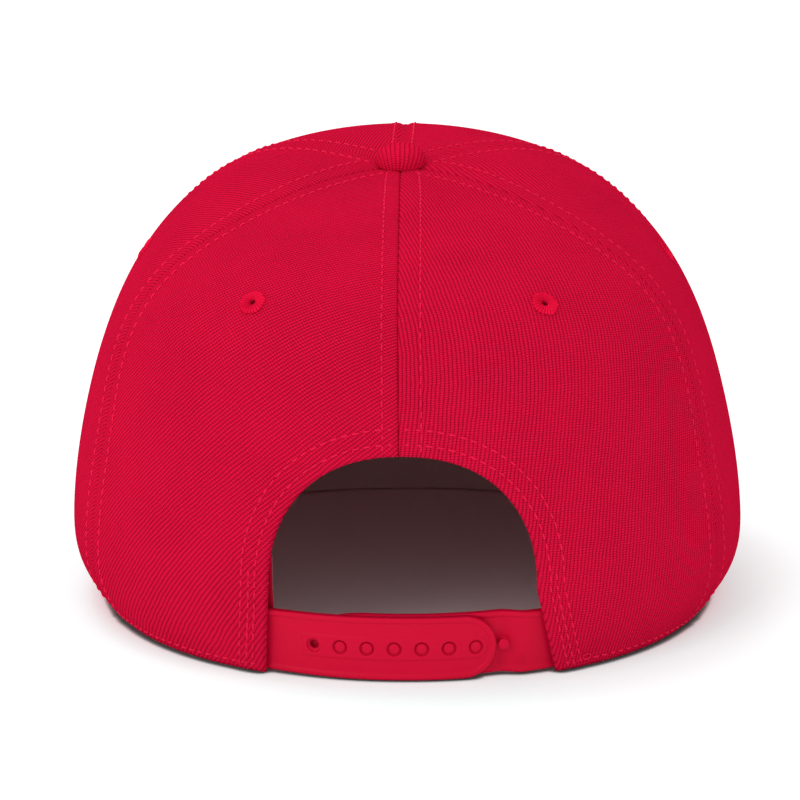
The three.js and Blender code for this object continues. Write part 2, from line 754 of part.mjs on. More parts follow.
addPiece('strap_left', strapLeft(), snapPlastic);
addPiece('strap_right', strapRight(), snapPlastic);

// The origin is the middle of the cap's footprint, on the ground
const box = new THREE.Box3().setFromObject(cap);
const centre = box.getCenter(new THREE.Vector3());
cap.position.set(-centre.x, -centre.y, -box.min.z);
const group = new THREE.Group();
group.add(cap);
group.updateMatrixWorld(true);

export default group;
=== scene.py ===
"""Snapback cap seen from behind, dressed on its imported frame.

Shapes are worked out in millimetres round the middle of the crown's rim, on the ground, with the
visor towards -Y and the wearer's left towards +X. A mesh is moved to the frame's place and turned
into metres when it is made. A direction round the crown, or turn, is in degrees from the back
towards the wearer's left, and a place along a meridian is a share from the rim, 0, to the top, 1.
"""

from __future__ import annotations

import logging
import math
from dataclasses import dataclass, field
from enum import Enum

import bpy
import numpy as np
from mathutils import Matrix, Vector

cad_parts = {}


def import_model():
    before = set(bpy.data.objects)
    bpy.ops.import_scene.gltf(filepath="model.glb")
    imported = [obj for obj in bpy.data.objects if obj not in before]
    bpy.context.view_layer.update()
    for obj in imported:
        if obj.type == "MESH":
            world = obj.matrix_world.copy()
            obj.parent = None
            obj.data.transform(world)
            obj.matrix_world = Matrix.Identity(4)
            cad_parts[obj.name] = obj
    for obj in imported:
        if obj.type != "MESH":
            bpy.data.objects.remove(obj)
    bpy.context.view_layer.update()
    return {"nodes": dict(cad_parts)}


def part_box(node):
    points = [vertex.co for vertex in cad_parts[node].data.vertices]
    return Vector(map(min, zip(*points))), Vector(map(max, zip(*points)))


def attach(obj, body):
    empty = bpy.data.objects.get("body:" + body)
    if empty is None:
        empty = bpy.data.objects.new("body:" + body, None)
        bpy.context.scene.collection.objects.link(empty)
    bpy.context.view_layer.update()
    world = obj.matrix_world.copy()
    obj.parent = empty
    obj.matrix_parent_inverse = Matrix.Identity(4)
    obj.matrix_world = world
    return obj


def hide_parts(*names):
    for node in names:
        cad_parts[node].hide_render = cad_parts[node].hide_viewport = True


LOG = logging.getLogger("snapback_cap")
METRES = 0.001
BODY = "root"
STITCH_PITCH = 2.9


# Curves and small helpers


class Cubic:
    """Cubic curve through knots, worked out for many rows of values at once."""

    def __init__(self, knots: tuple[float, ...], level: bool = False) -> None:
        """Solves the curve's bends as a matrix on the values.

        The second derivatives are the tridiagonal system of a cubic spline, with ends that don't
        bend, or that have no slope.

        Args:
            knots: Where the values lie.
            level: Whether the ends have no slope.
        """
        self.knots = np.asarray(knots, float)
        count = len(self.knots)
        step = np.diff(self.knots)
        left = np.eye(count)
        right = np.zeros((count, count))
        for i in range(1, count - 1):
            left[i, i - 1 : i + 2] = (step[i - 1], 2 * (step[i - 1] + step[i]), step[i])
            right[i, i - 1] = 6 / step[i - 1]
            right[i, i] = -6 / step[i - 1] - 6 / step[i]
            right[i, i + 1] = 6 / step[i]
        if level:
            left[0, :2] = (2 * step[0], step[0])
            right[0, :2] = (-6 / step[0], 6 / step[0])
            left[-1, -2:] = (step[-1], 2 * step[-1])
            right[-1, -2:] = (6 / step[-1], -6 / step[-1])
        self.bends = np.linalg.solve(left, right)
        self.step = step

    def at(self, values: np.ndarray, where: np.ndarray) -> np.ndarray:
        """Curve's value: a blend of the two knots beside it and of their bends.

        Args:
            values: Values at the knots, along the last axis.
            where: Places, broadcast against the other axes.

        Returns:
            The values there.
        """
        values = np.asarray(values, float)
        where = np.asarray(where, float)
        shape = np.broadcast_shapes(values.shape[:-1], where.shape)
        where = np.broadcast_to(where, shape)
        values = np.broadcast_to(values, shape + values.shape[-1:])
        bend = values @ self.bends.T
        i = np.searchsorted(self.knots[1:-1], where)
        h = self.step[i]
        before = (self.knots[i + 1] - where) / h
        after = 1 - before

        def pick(table: np.ndarray, index: np.ndarray) -> np.ndarray:
            """Entry of each row at its own index."""
            return np.take_along_axis(table, index[..., None], -1)[..., 0]

        straight = before * pick(values, i) + after * pick(values, i + 1)
        pull = (before**3 - before) * pick(bend, i) + (after**3 - after) * pick(bend, i + 1)
        return straight + pull * h * h / 6


def smooth_step(x: np.ndarray, low: float, high: float) -> np.ndarray:
    """Rises from 0 to 1 between low and high as 3s^2 - 2s^3."""
    share = np.clip((x - low) / (high - low), 0, 1)
    return share * share * (3 - 2 * share)


def hump(x: np.ndarray, centre: float, width: float) -> np.ndarray:
    """Bell of height 1: exp(-((x - centre) / width)^2)."""
    return np.exp(-(((x - centre) / width) ** 2))


def unit(vectors: np.ndarray) -> np.ndarray:
    """Vectors along the last axis, each divided by its length."""
    return vectors / np.linalg.norm(vectors, axis=-1, keepdims=True)


def graded(length: float, step: float, first: float, last: float) -> np.ndarray:
    """Shares along a length: fine over the rounded edges at its ends, even between them.

    Args:
        length: The length, in mm.
        step: Spacing between the edges, in mm.
        first: Width of the fine edge at the start, or 0.
        last: Width of the fine edge at the end, or 0.

    Returns:
        Rising shares from 0 to 1.
    """
    fine = 1 - np.cos(np.linspace(0, math.pi / 2, 8))
    start = first * fine
    end = length - last * fine[::-1]
    count = max(2, round((length - first - last) / step))
    middle = np.linspace(start[-1] if first else 0, end[0] if last else length, count + 1)
    parts = [start[:-1]] * bool(first) + [middle] + [end[1:]] * bool(last)
    return np.concatenate(parts) / length


def along(points: np.ndarray) -> np.ndarray:
    """Length from the first point of a line to each of its points."""
    steps = np.linalg.norm(np.diff(points, axis=0), axis=-1)
    return np.concatenate([[0], np.cumsum(steps)])


def resample(points: np.ndarray, where: np.ndarray) -> np.ndarray:
    """Points of a line at lengths along it."""
    lengths = along(points)
    return np.stack([np.interp(where, lengths, points[:, k]) for k in range(points.shape[1])], -1)


# The crown's surface

SECTION_TURNS = (0.0, 50.0, 90.0, 130.0, 180.0)
SECTIONS = {
    "hem": (1.005, 1.06, 1.08, 1.03, 1.0),
    "belly": (1.01, 1.09, 1.11, 1.05, 1.01),
    "mid": (0.99, 1.035, 1.05, 1.085, 1.03),
    "shoulder": (0.85, 0.855, 0.855, 0.935, 0.915),
    "brow": (0.44, 0.41, 0.5, 0.53, 0.565),
    "brow_up": (0.948, 0.957, 0.99, 1.015, 1.035),
}
STATION_AT = (0.0, 0.07, 0.19, 0.42, 0.63, 0.81, 1.0)
STATION_UP = (0.0, 0.075, 0.21, 0.5, 0.8)
BACK_SEAM_AT = (0.0, 0.35, 0.6, 0.75, 1.0)
BACK_SEAM_TURN = (60.0, 57.5, 57.0, 54.5, 60.0)


@dataclass
class Crown:
    """The crown's outer skin, the same one that the frame's panels have."""

    rim_half_width: float = 85.5
    rim_back_reach: float = 98.5
    rim_front_reach: float = 96.0
    rim_squareness: float = 2.18
    height: float = 120.0
    apex_back: float = 3.4
    apex_side: float = 2.2
    wall: float = 1.6
    front_seam: float = 120.0
    lift_fade: float = 0.5
    lift_start: float = 98.0
    clearance: float = 0.3
    visor_depth: float = 70.0
    visor_half_width: float = 88.0
    visor_squareness: float = 2.4
    visor_root: float = 60.0
    visor_thickness: float = 3.2
    visor_arch: float = 5.0
    opening_half_width: float = 34.9
    opening_side: float = -0.3
    opening_top: float = 59.9
    opening_spring: float = 24.0
    opening_squareness: float = 2.24
    spread_left: float = 1.2
    spread_right: float = 5.3
    eyelet_share: float = 0.795
    layout_turn: float = 28.0
    hem_row: float = 2.6
    seam_row: float = 5.0
    front_row: float = 2.8
    back_rows: tuple[float, float] = (4.1, 5.7)
    opening_rows: tuple[float, float] = (3.3, 7.2)

    def __post_init__(self) -> None:
        """Solves the curves, and reads from the frame where the crown stands."""
        self.round_curve = Cubic(SECTION_TURNS, level=True)
        self.rise_curve = Cubic(STATION_AT)
        self.seam_curve = Cubic(BACK_SEAM_AT)
        low, high = (np.array(corner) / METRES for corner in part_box("visor"))
        front = self.rim_front_reach + self.visor_depth
        self.origin = np.array([(low[0] + high[0]) / 2, low[1] + front, 0.0])
        self.top = float(self.share_at_radius(np.array(self.layout_turn), 2.2))
        self.at_table = np.linspace(0, self.top, 500)
        self.run_table = along(self.skin(self.layout_turn, self.at_table))

    def rim_reach(self, turn: np.ndarray) -> np.ndarray:
        """Distance from the rim's centre to the rim: a squared-off ellipse, (|x/a|^n + |y/b|^n) = 1."""
        sine = np.abs(np.sin(np.radians(turn))) / self.rim_half_width
        cosine = np.cos(np.radians(turn))
        reach = np.where(cosine > 0, self.rim_back_reach, self.rim_front_reach)
        n = self.rim_squareness
        return (sine**n + (np.abs(cosine) / reach) ** n) ** (-1 / n)

    def visor_under(self, x: np.ndarray) -> np.ndarray:
        """Height of the visor's underside: a parabola across its width."""
        return self.visor_arch * np.maximum(0, 1 - (x / self.visor_half_width) ** 2)

    def rim_lift(self, turn: np.ndarray) -> np.ndarray:
        """Rim's height above the ground: on the visor in front, on the ground elsewhere."""
        side = self.side_of(turn)
        x = self.rim_reach(side) * np.sin(np.radians(side))
        seat = self.visor_under(x) + self.visor_thickness + self.clearance
        return seat * smooth_step(side, self.lift_start, self.front_seam)

    @staticmethod
    def side_of(turn: np.ndarray) -> np.ndarray:
        """Turn folded to 0 at the back and 180 in front, on either side."""
        folded = np.abs(turn) % 360
        return np.minimum(folded, 360 - folded)

    def _share(self, name: str, side: np.ndarray) -> np.ndarray:
        """One column of the sections, at these turns."""
        return self.round_curve.at(np.array(SECTIONS[name]), side)

    def plan_radius(self, turn: np.ndarray, at: np.ndarray) -> np.ndarray:
        """Distance of the skin from its axis: the sections' shares of the rim's reach, on a cubic."""
        side = self.side_of(turn)
        ones = np.ones_like(side, float)
        names = ("hem", "belly", "mid", "shoulder", "brow")
        out = np.stack([ones, *[self._share(n, side) for n in names], 0 * ones], -1)
        return self.rise_curve.at(out, at) * self.rim_reach(side)

    def skin(self, turn: np.ndarray, at: np.ndarray) -> np.ndarray:
        """Points of the skin: round the axis by turn, up by the stations, leaning towards the top.

        Args:
            turn: Directions, in degrees.
            at: Shares of the meridian.

        Returns:
            Points in mm, along the last axis.
        """
        turn, at = np.broadcast_arrays(np.asarray(turn, float), np.asarray(at, float))
        side = self.side_of(turn)
        ones = np.ones_like(side)
        up_rows = [level * ones for level in STATION_UP]
        up_rows += [self._share("brow_up", side), ones]
        up = self.rise_curve.at(np.stack(up_rows, -1), at)
        radius = self.plan_radius(turn, at)
        fade = np.maximum(0, 1 - up / self.lift_fade) ** 2
        lean = np.maximum(0, at) ** 1.5
        x = np.sin(np.radians(turn)) * radius + self.apex_side * lean
        y = np.cos(np.radians(turn)) * radius + self.apex_back * lean
        z = self.height * up + self.rim_lift(turn) * fade
        return np.stack([x, y, z], -1)

    def normal(self, turn: np.ndarray, at: np.ndarray) -> np.ndarray:
        """Outward unit normal, from the slopes round and up the skin, and level at the rim."""
        turn, at = np.broadcast_arrays(np.asarray(turn, float), np.asarray(at, float))
        across = self.skin(turn + 0.2, at) - self.skin(turn - 0.2, at)
        low = np.maximum(0, at - 0.002)
        up = self.skin(turn, at + 0.002) - self.skin(turn, low)
        facing = np.cross(up, across)
        facing[..., 2] *= at > 1e-6
        return unit(facing)

    def place(self, turn: np.ndarray, at: np.ndarray, height: np.ndarray) -> np.ndarray:
        """Points this far outside the skin, along its normal."""
        return self.skin(turn, at) + self.normal(turn, at) * np.asarray(height)[..., None]

    def seam_turn(self, at: np.ndarray) -> np.ndarray:
        """Turn of the seam between a back and a side panel."""
        return self.seam_curve.at(np.array(BACK_SEAM_TURN), np.clip(at, 0, 1))

    def share_at_height(self, turn: np.ndarray, z: np.ndarray) -> np.ndarray:
        """Share of the meridian where the skin is this high, found by halving."""
        turn, z = np.broadcast_arrays(np.asarray(turn, float), np.asarray(z, float))
        low = np.zeros(turn.shape)
        high = np.full(turn.shape, 0.5)
        for _ in range(26):
            middle = (low + high) / 2
            under = self.skin(turn, middle)[..., 2] < z
            low = np.where(under, middle, low)
            high = np.where(under, high, middle)
        return (low + high) / 2

    def flat(self, turn: np.ndarray, at: np.ndarray) -> np.ndarray:
        """Place in the flat layout: length round the crown from the back seam, and length up it."""
        across = np.radians(turn) * self.plan_radius(turn, at)
        return np.stack([across, np.interp(at, self.at_table, self.run_table)], -1)

    def unflat(self, places: np.ndarray) -> tuple[np.ndarray, np.ndarray]:
        """Turns and shares of places in the flat layout, by repeated division by the radius."""
        at = np.interp(places[..., 1], self.run_table, self.at_table)
        turn = np.full(at.shape, self.layout_turn)
        for _ in range(16):
            turn = np.degrees(places[..., 0] / self.plan_radius(turn, at))
        return turn, at

    def opening_edge(self, left: bool, count: int = 260) -> tuple[np.ndarray, np.ndarray]:
        """Opening's edge from the back seam to one foot.

        The arch is a squared half oval, |x/a|^n + |z/b|^n = 1, on legs that spread to the rim.

        Args:
            left: Whether it is the wearer's left side.
            count: Number of points.

        Returns:
            Turns, counted from the back on that side, and shares.
        """
        sign = 1.0 if left else -1.0
        spread = self.spread_left if left else self.spread_right
        angle = np.radians(np.linspace(97, 0, 400))
        power = 2 / self.opening_squareness
        x = self.opening_half_width * np.sign(np.cos(angle)) * np.abs(np.cos(angle)) ** power
        z = self.opening_spring + (self.opening_top - self.opening_spring) * np.sin(angle) ** power
        leg = np.linspace(0, 1, 90)[1:]
        x = np.concatenate([x, self.opening_half_width + spread * leg]) + sign * self.opening_side
        z = np.concatenate([z, self.opening_spring * (1 - leg)])
        turn = np.degrees(np.arctan2(x, self.rim_back_reach))
        for _ in range(12):
            at = self.share_at_height(turn, z)
            sine = (x - sign * self.apex_side * at**1.5) / self.plan_radius(turn, at)
            turn = np.degrees(np.arcsin(np.clip(sine, -0.95, 0.95)))
        at = self.share_at_height(turn, z)
        line = np.stack([turn, at], -1)
        first = int(np.argmax(turn > 0))
        share = -turn[first - 1] / (turn[first] - turn[first - 1])
        start = line[first - 1] + share * (line[first] - line[first - 1])
        line = np.concatenate([start[None], line[first:]])
        places = self.flat(line[:, 0], line[:, 1])
        lengths = along(places)
        even = np.linspace(0, lengths[-1], count)
        return np.interp(even, lengths, line[:, 0]), np.interp(even, lengths, line[:, 1])

    def beside_opening(self, left: bool, distance: float,
                       kept: float = 1.0) -> tuple[np.ndarray, np.ndarray]:
        """Line at a distance from the opening's edge: the edge moved along its own normals.

        Args:
            left: Whether it is the wearer's left side.
            distance: Distance from the edge, in mm.
            kept: Share of the line that is kept, from the foot.

        Returns:
            Turns round the whole crown, and shares.
        """
        edge = self.flat(*self.opening_edge(left))
        slope = unit(np.gradient(edge, axis=0))
        line = edge + distance * np.stack([-slope[:, 1], slope[:, 0]], -1)
        line = line[(line[:, 0] > 0.5) & (line[:, 1] > 0.8)]
        line = line[int((1 - kept) * len(line)) :]
        turn, at = self.unflat(line)
        return (turn if left else 360 - turn), at

    def seam_line(self, index: int, distance: float, low: float = 0.004, radius: float = 9.0,
                  count: int = 240) -> tuple[np.ndarray, np.ndarray]:
        """Line beside a seam: the seam's turn plus distance / plan radius.

        Args:
            index: Seam, counted from the back seam round through the wearer's left.
            distance: Distance from it in mm, towards the next seam when positive.
            low: Share where the line starts.
            radius: Plan radius where it ends, under the button's edge.
            count: Number of points.

        Returns:
            Turns and shares.
        """
        side, front = BACK_SEAM_TURN[-1], self.front_seam
        seam = np.array((0.0, side, front, 180.0, 360 - front, 360 - side))[index]
        high = float(self.share_at_radius(np.array(seam), radius))
        at = np.linspace(low, high, count)
        if index in (1, 5):
            seam = self.seam_turn(at) if index == 1 else 360 - self.seam_turn(at)
        return seam + np.degrees(distance / self.plan_radius(seam + 0 * at, at)), at

    def eyelet_place(self, turn: float) -> tuple[float, np.ndarray, np.ndarray]:
        """Share, point and outward direction of an eyelet's middle."""
        low, high = 0.42, 0.8
        for _ in range(40):
            middle = (low + high) / 2
            under = self.skin(turn, middle)[2] < self.eyelet_share * self.height
            low, high = (middle, high) if under else (low, middle)
        return low, self.skin(turn, low), self.normal(turn, low)

    def share_at_radius(self, turn: np.ndarray, radius: float) -> np.ndarray:
        """Share of the meridian where the plan radius has shrunk to this, near the top."""
        turn = np.asarray(turn, float)
        low = np.full(turn.shape, 0.6)
        high = np.ones(turn.shape)
        for _ in range(30):
            middle = (low + high) / 2
            outside = self.plan_radius(turn, middle) > radius
            low = np.where(outside, middle, low)
            high = np.where(outside, high, middle)
        return (low + high) / 2


# Meshes


@dataclass
class MeshMaker:
    """Collects grids of points and makes one mesh object of them."""

    points: list[np.ndarray] = field(default_factory=list)
    faces: list[np.ndarray] = field(default_factory=list)
    uvs: list[np.ndarray] = field(default_factory=list)
    kinds: list[np.ndarray] = field(default_factory=list)
    count: int = 0

    def grid(self, points: np.ndarray, uv: np.ndarray, kind: int = 0, flip: bool = False,
             hole: tuple[int, int] | None = None) -> None:
        """Adds the quads of one grid.

        Args:
            points: Grid of points, in mm.
            uv: Grid of pattern coordinates, in mm.
            kind: Index of the material.
            flip: Whether the faces turn the other way.
            hole: Cell that is left open.
        """
        self.grids(points[None], uv[None], kind, flip, hole)

    def grids(self, points: np.ndarray, uv: np.ndarray, kind: int = 0, flip: bool = False,
              hole: tuple[int, int] | None = None) -> None:
        """Adds many grids of one size at once, along the first axis. The rest is as in grid."""
        many, rows, columns = points.shape[:3]
        index = np.arange(many * rows * columns).reshape(many, rows, columns) + self.count
        quads = np.stack(
            [index[:, :-1, :-1], index[:, 1:, :-1], index[:, 1:, 1:], index[:, :-1, 1:]], -1
        ).reshape(-1, 4)
        uv = np.broadcast_to(uv, points.shape[:3] + (2,)).reshape(-1, 2)
        corners = uv[quads - self.count]
        if hole is not None:
            cell = hole[0] * (columns - 1) + hole[1]
            quads, corners = np.delete(quads, cell, 0), np.delete(corners, cell, 0)
        if flip:
            quads, corners = quads[:, ::-1], corners[:, ::-1]
        self.points.append(points.reshape(-1, 3))
        self.faces.append(quads)
        self.uvs.append(corners)
        self.kinds.append(np.full(len(quads), kind))
        self.count += many * rows * columns

    def make(self, name: str, origin: np.ndarray, materials: list[bpy.types.Material]) -> bpy.types.Object:
        """Makes the object: joins points that meet, drops empty faces, and turns faces outwards.

        Args:
            name: Name of the piece.
            origin: Place of the crown's middle in the frame, in mm.
            materials: Materials, in the order of the kinds.

        Returns:
            The new object, in metres at the frame's origin.
        """
        points = np.concatenate(self.points)
        _, first, joined = np.unique(
            np.round(points / 1e-3).astype(np.int64), axis=0, return_index=True, return_inverse=True
        )
        points = points[first]
        faces = joined.reshape(-1)[np.concatenate(self.faces)]
        corners = np.concatenate(self.uvs)
        kinds = np.concatenate(self.kinds)
        keep = faces != np.roll(faces, -1, axis=1)
        whole = keep.sum(1) >= 3
        faces, corners, kinds, keep = faces[whole], corners[whole], kinds[whole], keep[whole]
        a, b, c, d = (points[faces[:, k]] for k in range(4))
        volume = (a * np.cross(b, c)).sum() + (a * np.cross(c, d)).sum()
        if volume < 0:
            faces, corners, keep = faces[:, ::-1], corners[:, ::-1], keep[:, ::-1]
        totals = keep.sum(1)
        mesh = bpy.data.meshes.new(name)
        mesh.vertices.add(len(points))
        mesh.vertices.foreach_set("co", ((points + origin) * METRES).astype(np.float32).ravel())
        mesh.loops.add(int(totals.sum()))
        mesh.loops.foreach_set("vertex_index", faces[keep].astype(np.int32))
        mesh.polygons.add(len(faces))
        mesh.polygons.foreach_set("loop_start", (np.cumsum(totals) - totals).astype(np.int32))
        mesh.polygons.foreach_set("material_index", kinds.astype(np.int32))
        mesh.polygons.foreach_set("use_smooth", np.ones(len(faces), bool))
        layer = mesh.uv_layers.new(name="cloth")
        mesh.update(calc_edges=True)
        layer.uv.foreach_set("vector", (corners[keep] * METRES).astype(np.float32).ravel())
        mesh.validate()
        for material in materials:
            mesh.materials.append(material)
        piece = bpy.data.objects.new(name, mesh)
        bpy.context.scene.collection.objects.link(piece)
        return piece


# Finishes


class Graph:
    """Builds a material's nodes with short calls."""

    def __init__(self, name: str) -> None:
        """Starts a material with one principled shader."""
        self.material = bpy.data.materials.new(name)
        self.material.use_nodes = True
        self.tree = self.material.node_tree
        self.shader = self.tree.nodes["Principled BSDF"]

    def add(self, kind: str, **settings: object) -> bpy.types.Node:
        """Adds a node and sets its properties."""
        node = self.tree.nodes.new(kind)
        for key, value in settings.items():
            setattr(node, key, value)
        return node

    def feed(self, socket: bpy.types.NodeSocket, value: object) -> None:
        """Links a socket to another, or sets it to a value."""
        if isinstance(value, bpy.types.NodeSocket):
            self.tree.links.new(value, socket)
        else:
            socket.default_value = value

    def math(self, operation: str, *values: object) -> bpy.types.NodeSocket:
        """Math node of one to three values."""
        node = self.add("ShaderNodeMath", operation=operation)
        for socket, value in zip(node.inputs, values):
            self.feed(socket, value)
        return node.outputs[0]

    def noise(self, where: object, scale: float, detail: float = 2.0) -> bpy.types.NodeSocket:
        """Noise between 0 and 1, with features about 1 / scale metres apart."""
        node = self.add("ShaderNodeTexNoise")
        self.feed(node.inputs["Vector"], where)
        node.inputs["Scale"].default_value = scale
        node.inputs["Detail"].default_value = detail
        return node.outputs["Fac"]

    def mix(self, share: object, first: object, second: object, blend: str = "MIX") -> bpy.types.NodeSocket:
        """Mixes two colours."""
        node = self.add("ShaderNodeMix", data_type="RGBA", blend_type=blend)
        self.feed(node.inputs["Factor"], share)
        self.feed(node.inputs["A"], first)
        self.feed(node.inputs["B"], second)
        return node.outputs["Result"]

    def bump(self, height: object, distance: float, strength: float = 1.0) -> None:
        """Gives the shader a bump of this height, in metres."""
        node = self.add("ShaderNodeBump")
        node.inputs["Distance"].default_value = distance
        node.inputs["Strength"].default_value = strength
        self.feed(node.inputs["Height"], height)
        self.feed(self.shader.inputs["Normal"], node.outputs["Normal"])

    def where(self) -> bpy.types.NodeSocket:
        """The object's own coordinates, in metres."""
        return self.add("ShaderNodeTexCoord").outputs["Object"]

    def cloth(self) -> tuple[bpy.types.NodeSocket, bpy.types.NodeSocket]:
        """The pattern coordinates across and along the cloth, in metres."""
        apart = self.add("ShaderNodeSeparateXYZ")
        self.feed(apart.inputs[0], self.add("ShaderNodeUVMap", uv_map="cloth").outputs["UV"])
        return apart.outputs["X"], apart.outputs["Y"]


Colour = tuple[float, float, float, float]


class Sheen(Enum):
    """How much of a soft rim light a cloth has."""

    PLAIN = 0.0
    FAINT = 0.03


@dataclass(frozen=True)
class Twill:
    """Twill cloth: slanted ribs of short yarns, with valleys between them, painted darker as shade."""

    name: str
    rib: Colour
    valley_shade: Colour
    pitch: float = 1.05
    slant: float = 45.0
    yarn: float = 0.65
    relief: float = 0.3
    rib_depth: float = 0.82
    rib_wander: float = 0.9
    yarn_depth: float = 0.6
    yarn_lag: float = 0.25
    yarn_wander: float = 1.5
    fuzz: float = 0.35
    blotch: float = 0.22
    # How far the weave's height paints shade into the colour, towards the valley's darker red.
    depth: float = 0.8
    dark_at: float = 0.16
    bright_at: float = 0.98
    roughness: float = 0.86
    sheen: Sheen = Sheen.FAINT

    def make(self) -> bpy.types.Material:
        """Builds the material.

        The rib's phase runs across the slant, and the yarns' phase along it, less a quarter of a
        yarn a rib. The height is the rib's rounded ridge times the yarns' swell. Height and a
        broad blotch set the colour between the valley's painted shade and the rib's colour: the
        weave's low parts are painted darker as shade, and the blotch varies the tone at random.

        Returns:
            The material.
        """
        g = Graph(self.name)
        across, up = g.cloth()
        turn = math.radians(self.slant)
        place = g.where()
        wander = g.math("MULTIPLY_ADD", g.noise(place, 160.0, 3.0), self.rib_wander, -self.rib_wander / 2)
        ribs = self._phase(g, across, up, math.sin(turn), math.cos(turn), self.pitch)
        ribs = g.math("ADD", ribs, wander)
        yarns = self._phase(g, across, up, math.cos(turn), -math.sin(turn), self.yarn)
        yarns = g.math("MULTIPLY_ADD", ribs, -self.yarn_lag, yarns)
        yarns = g.math("MULTIPLY_ADD", g.noise(place, 420.0, 2.0), self.yarn_wander, yarns)
        ridge = g.math("MULTIPLY_ADD", self._ridge(g, ribs), self.rib_depth, 1 - self.rib_depth)
        swell = g.math("MULTIPLY_ADD", self._ridge(g, yarns), self.yarn_depth, 1 - self.yarn_depth)
        height = g.math("MULTIPLY", ridge, swell)
        height = g.math("MULTIPLY_ADD", g.noise(place, 5200.0, 2.0), self.fuzz, height)
        g.bump(height, self.relief * METRES)
        # Painted shade: lower parts of the weave take the valley's darker colour.
        shade = g.math("MULTIPLY", height, self.depth)
        shade = g.math("MULTIPLY_ADD", g.noise(place, 45.0, 3.0), self.blotch, shade)
        tone = g.add("ShaderNodeMapRange")
        g.feed(tone.inputs["Value"], shade)
        tone.inputs["From Min"].default_value = self.dark_at
        tone.inputs["From Max"].default_value = self.bright_at
        g.feed(g.shader.inputs["Base Color"], g.mix(tone.outputs[0], self.valley_shade, self.rib))
        g.shader.inputs["Roughness"].default_value = self.roughness
        g.shader.inputs["Specular IOR Level"].default_value = 0.0
        g.shader.inputs["Sheen Weight"].default_value = self.sheen.value
        g.shader.inputs["Sheen Roughness"].default_value = 0.5
        g.shader.inputs["Sheen Tint"].default_value = self.rib
        return g.material

    @staticmethod
    def _phase(g: Graph, across: object, up: object, a: float, b: float, pitch: float) -> object:
        """Counts pitches along a slanted direction: (a across + b up) / pitch."""
        scale = 1 / (pitch * METRES)
        return g.math("MULTIPLY_ADD", up, b * scale, g.math("MULTIPLY", across, a * scale))

    @staticmethod
    def _ridge(g: Graph, phase: object) -> object:
        """Rounded ridge once a pitch: the absolute sine of half the phase, to a low power."""
        wave = g.math("ABSOLUTE", g.math("SINE", g.math("MULTIPLY", phase, math.pi)))
        return g.math("POWER", wave, 0.7)


@dataclass(frozen=True)
class Plain:
    """Smooth or grained surface: moulded plastic or plain cloth."""

    name: str
    colour: Colour
    dark: Colour
    roughness: float
    grain: float = 900.0
    relief: float = 0.02
    specular: float = 0.0
    sheen: Sheen = Sheen.PLAIN

    def make(self) -> bpy.types.Material:
        """Builds the material: a colour that varies a little, and a fine uneven bump."""
        g = Graph(self.name)
        place = g.where()
        fine = g.noise(place, self.grain, 3.0)
        blotch = g.noise(place, 70.0, 2.0)
        share = g.math("MULTIPLY_ADD", fine, 0.5, g.math("MULTIPLY", blotch, 0.5))
        g.feed(g.shader.inputs["Base Color"], g.mix(share, self.dark, self.colour))
        g.bump(fine, self.relief * METRES)
        g.shader.inputs["Roughness"].default_value = self.roughness
        g.shader.inputs["Specular IOR Level"].default_value = self.specular
        g.shader.inputs["Sheen Weight"].default_value = self.sheen.value
        return g.material


@dataclass(frozen=True)
class Thread:
    """Twisted thread: slanted plies along each stitch."""

    name: str
    colour: Colour
    dark: Colour
    ply: float = 0.42
    relief: float = 0.05
    roughness: float = 0.5
    specular: float = 0.02

    def make(self) -> bpy.types.Material:
        """Builds the material: the plies' phase runs along and round the thread, and the colour is painted
        darker in the grooves between plies, as shade.
        """
        g = Graph(self.name)
        length, round_it = g.cloth()
        phase = g.math("MULTIPLY", g.math("ADD", length, round_it), 1 / (self.ply * METRES))
        wave = g.math("ABSOLUTE", g.math("SINE", g.math("MULTIPLY", phase, math.pi)))
        g.bump(wave, self.relief * METRES)
        # Painted shade: the colour darkens with the bump into the grooves between plies.
        g.feed(g.shader.inputs["Base Color"], g.mix(wave, self.dark, self.colour))
        g.shader.inputs["Roughness"].default_value = self.roughness
        g.shader.inputs["Specular IOR Level"].default_value = self.specular
        return g.material


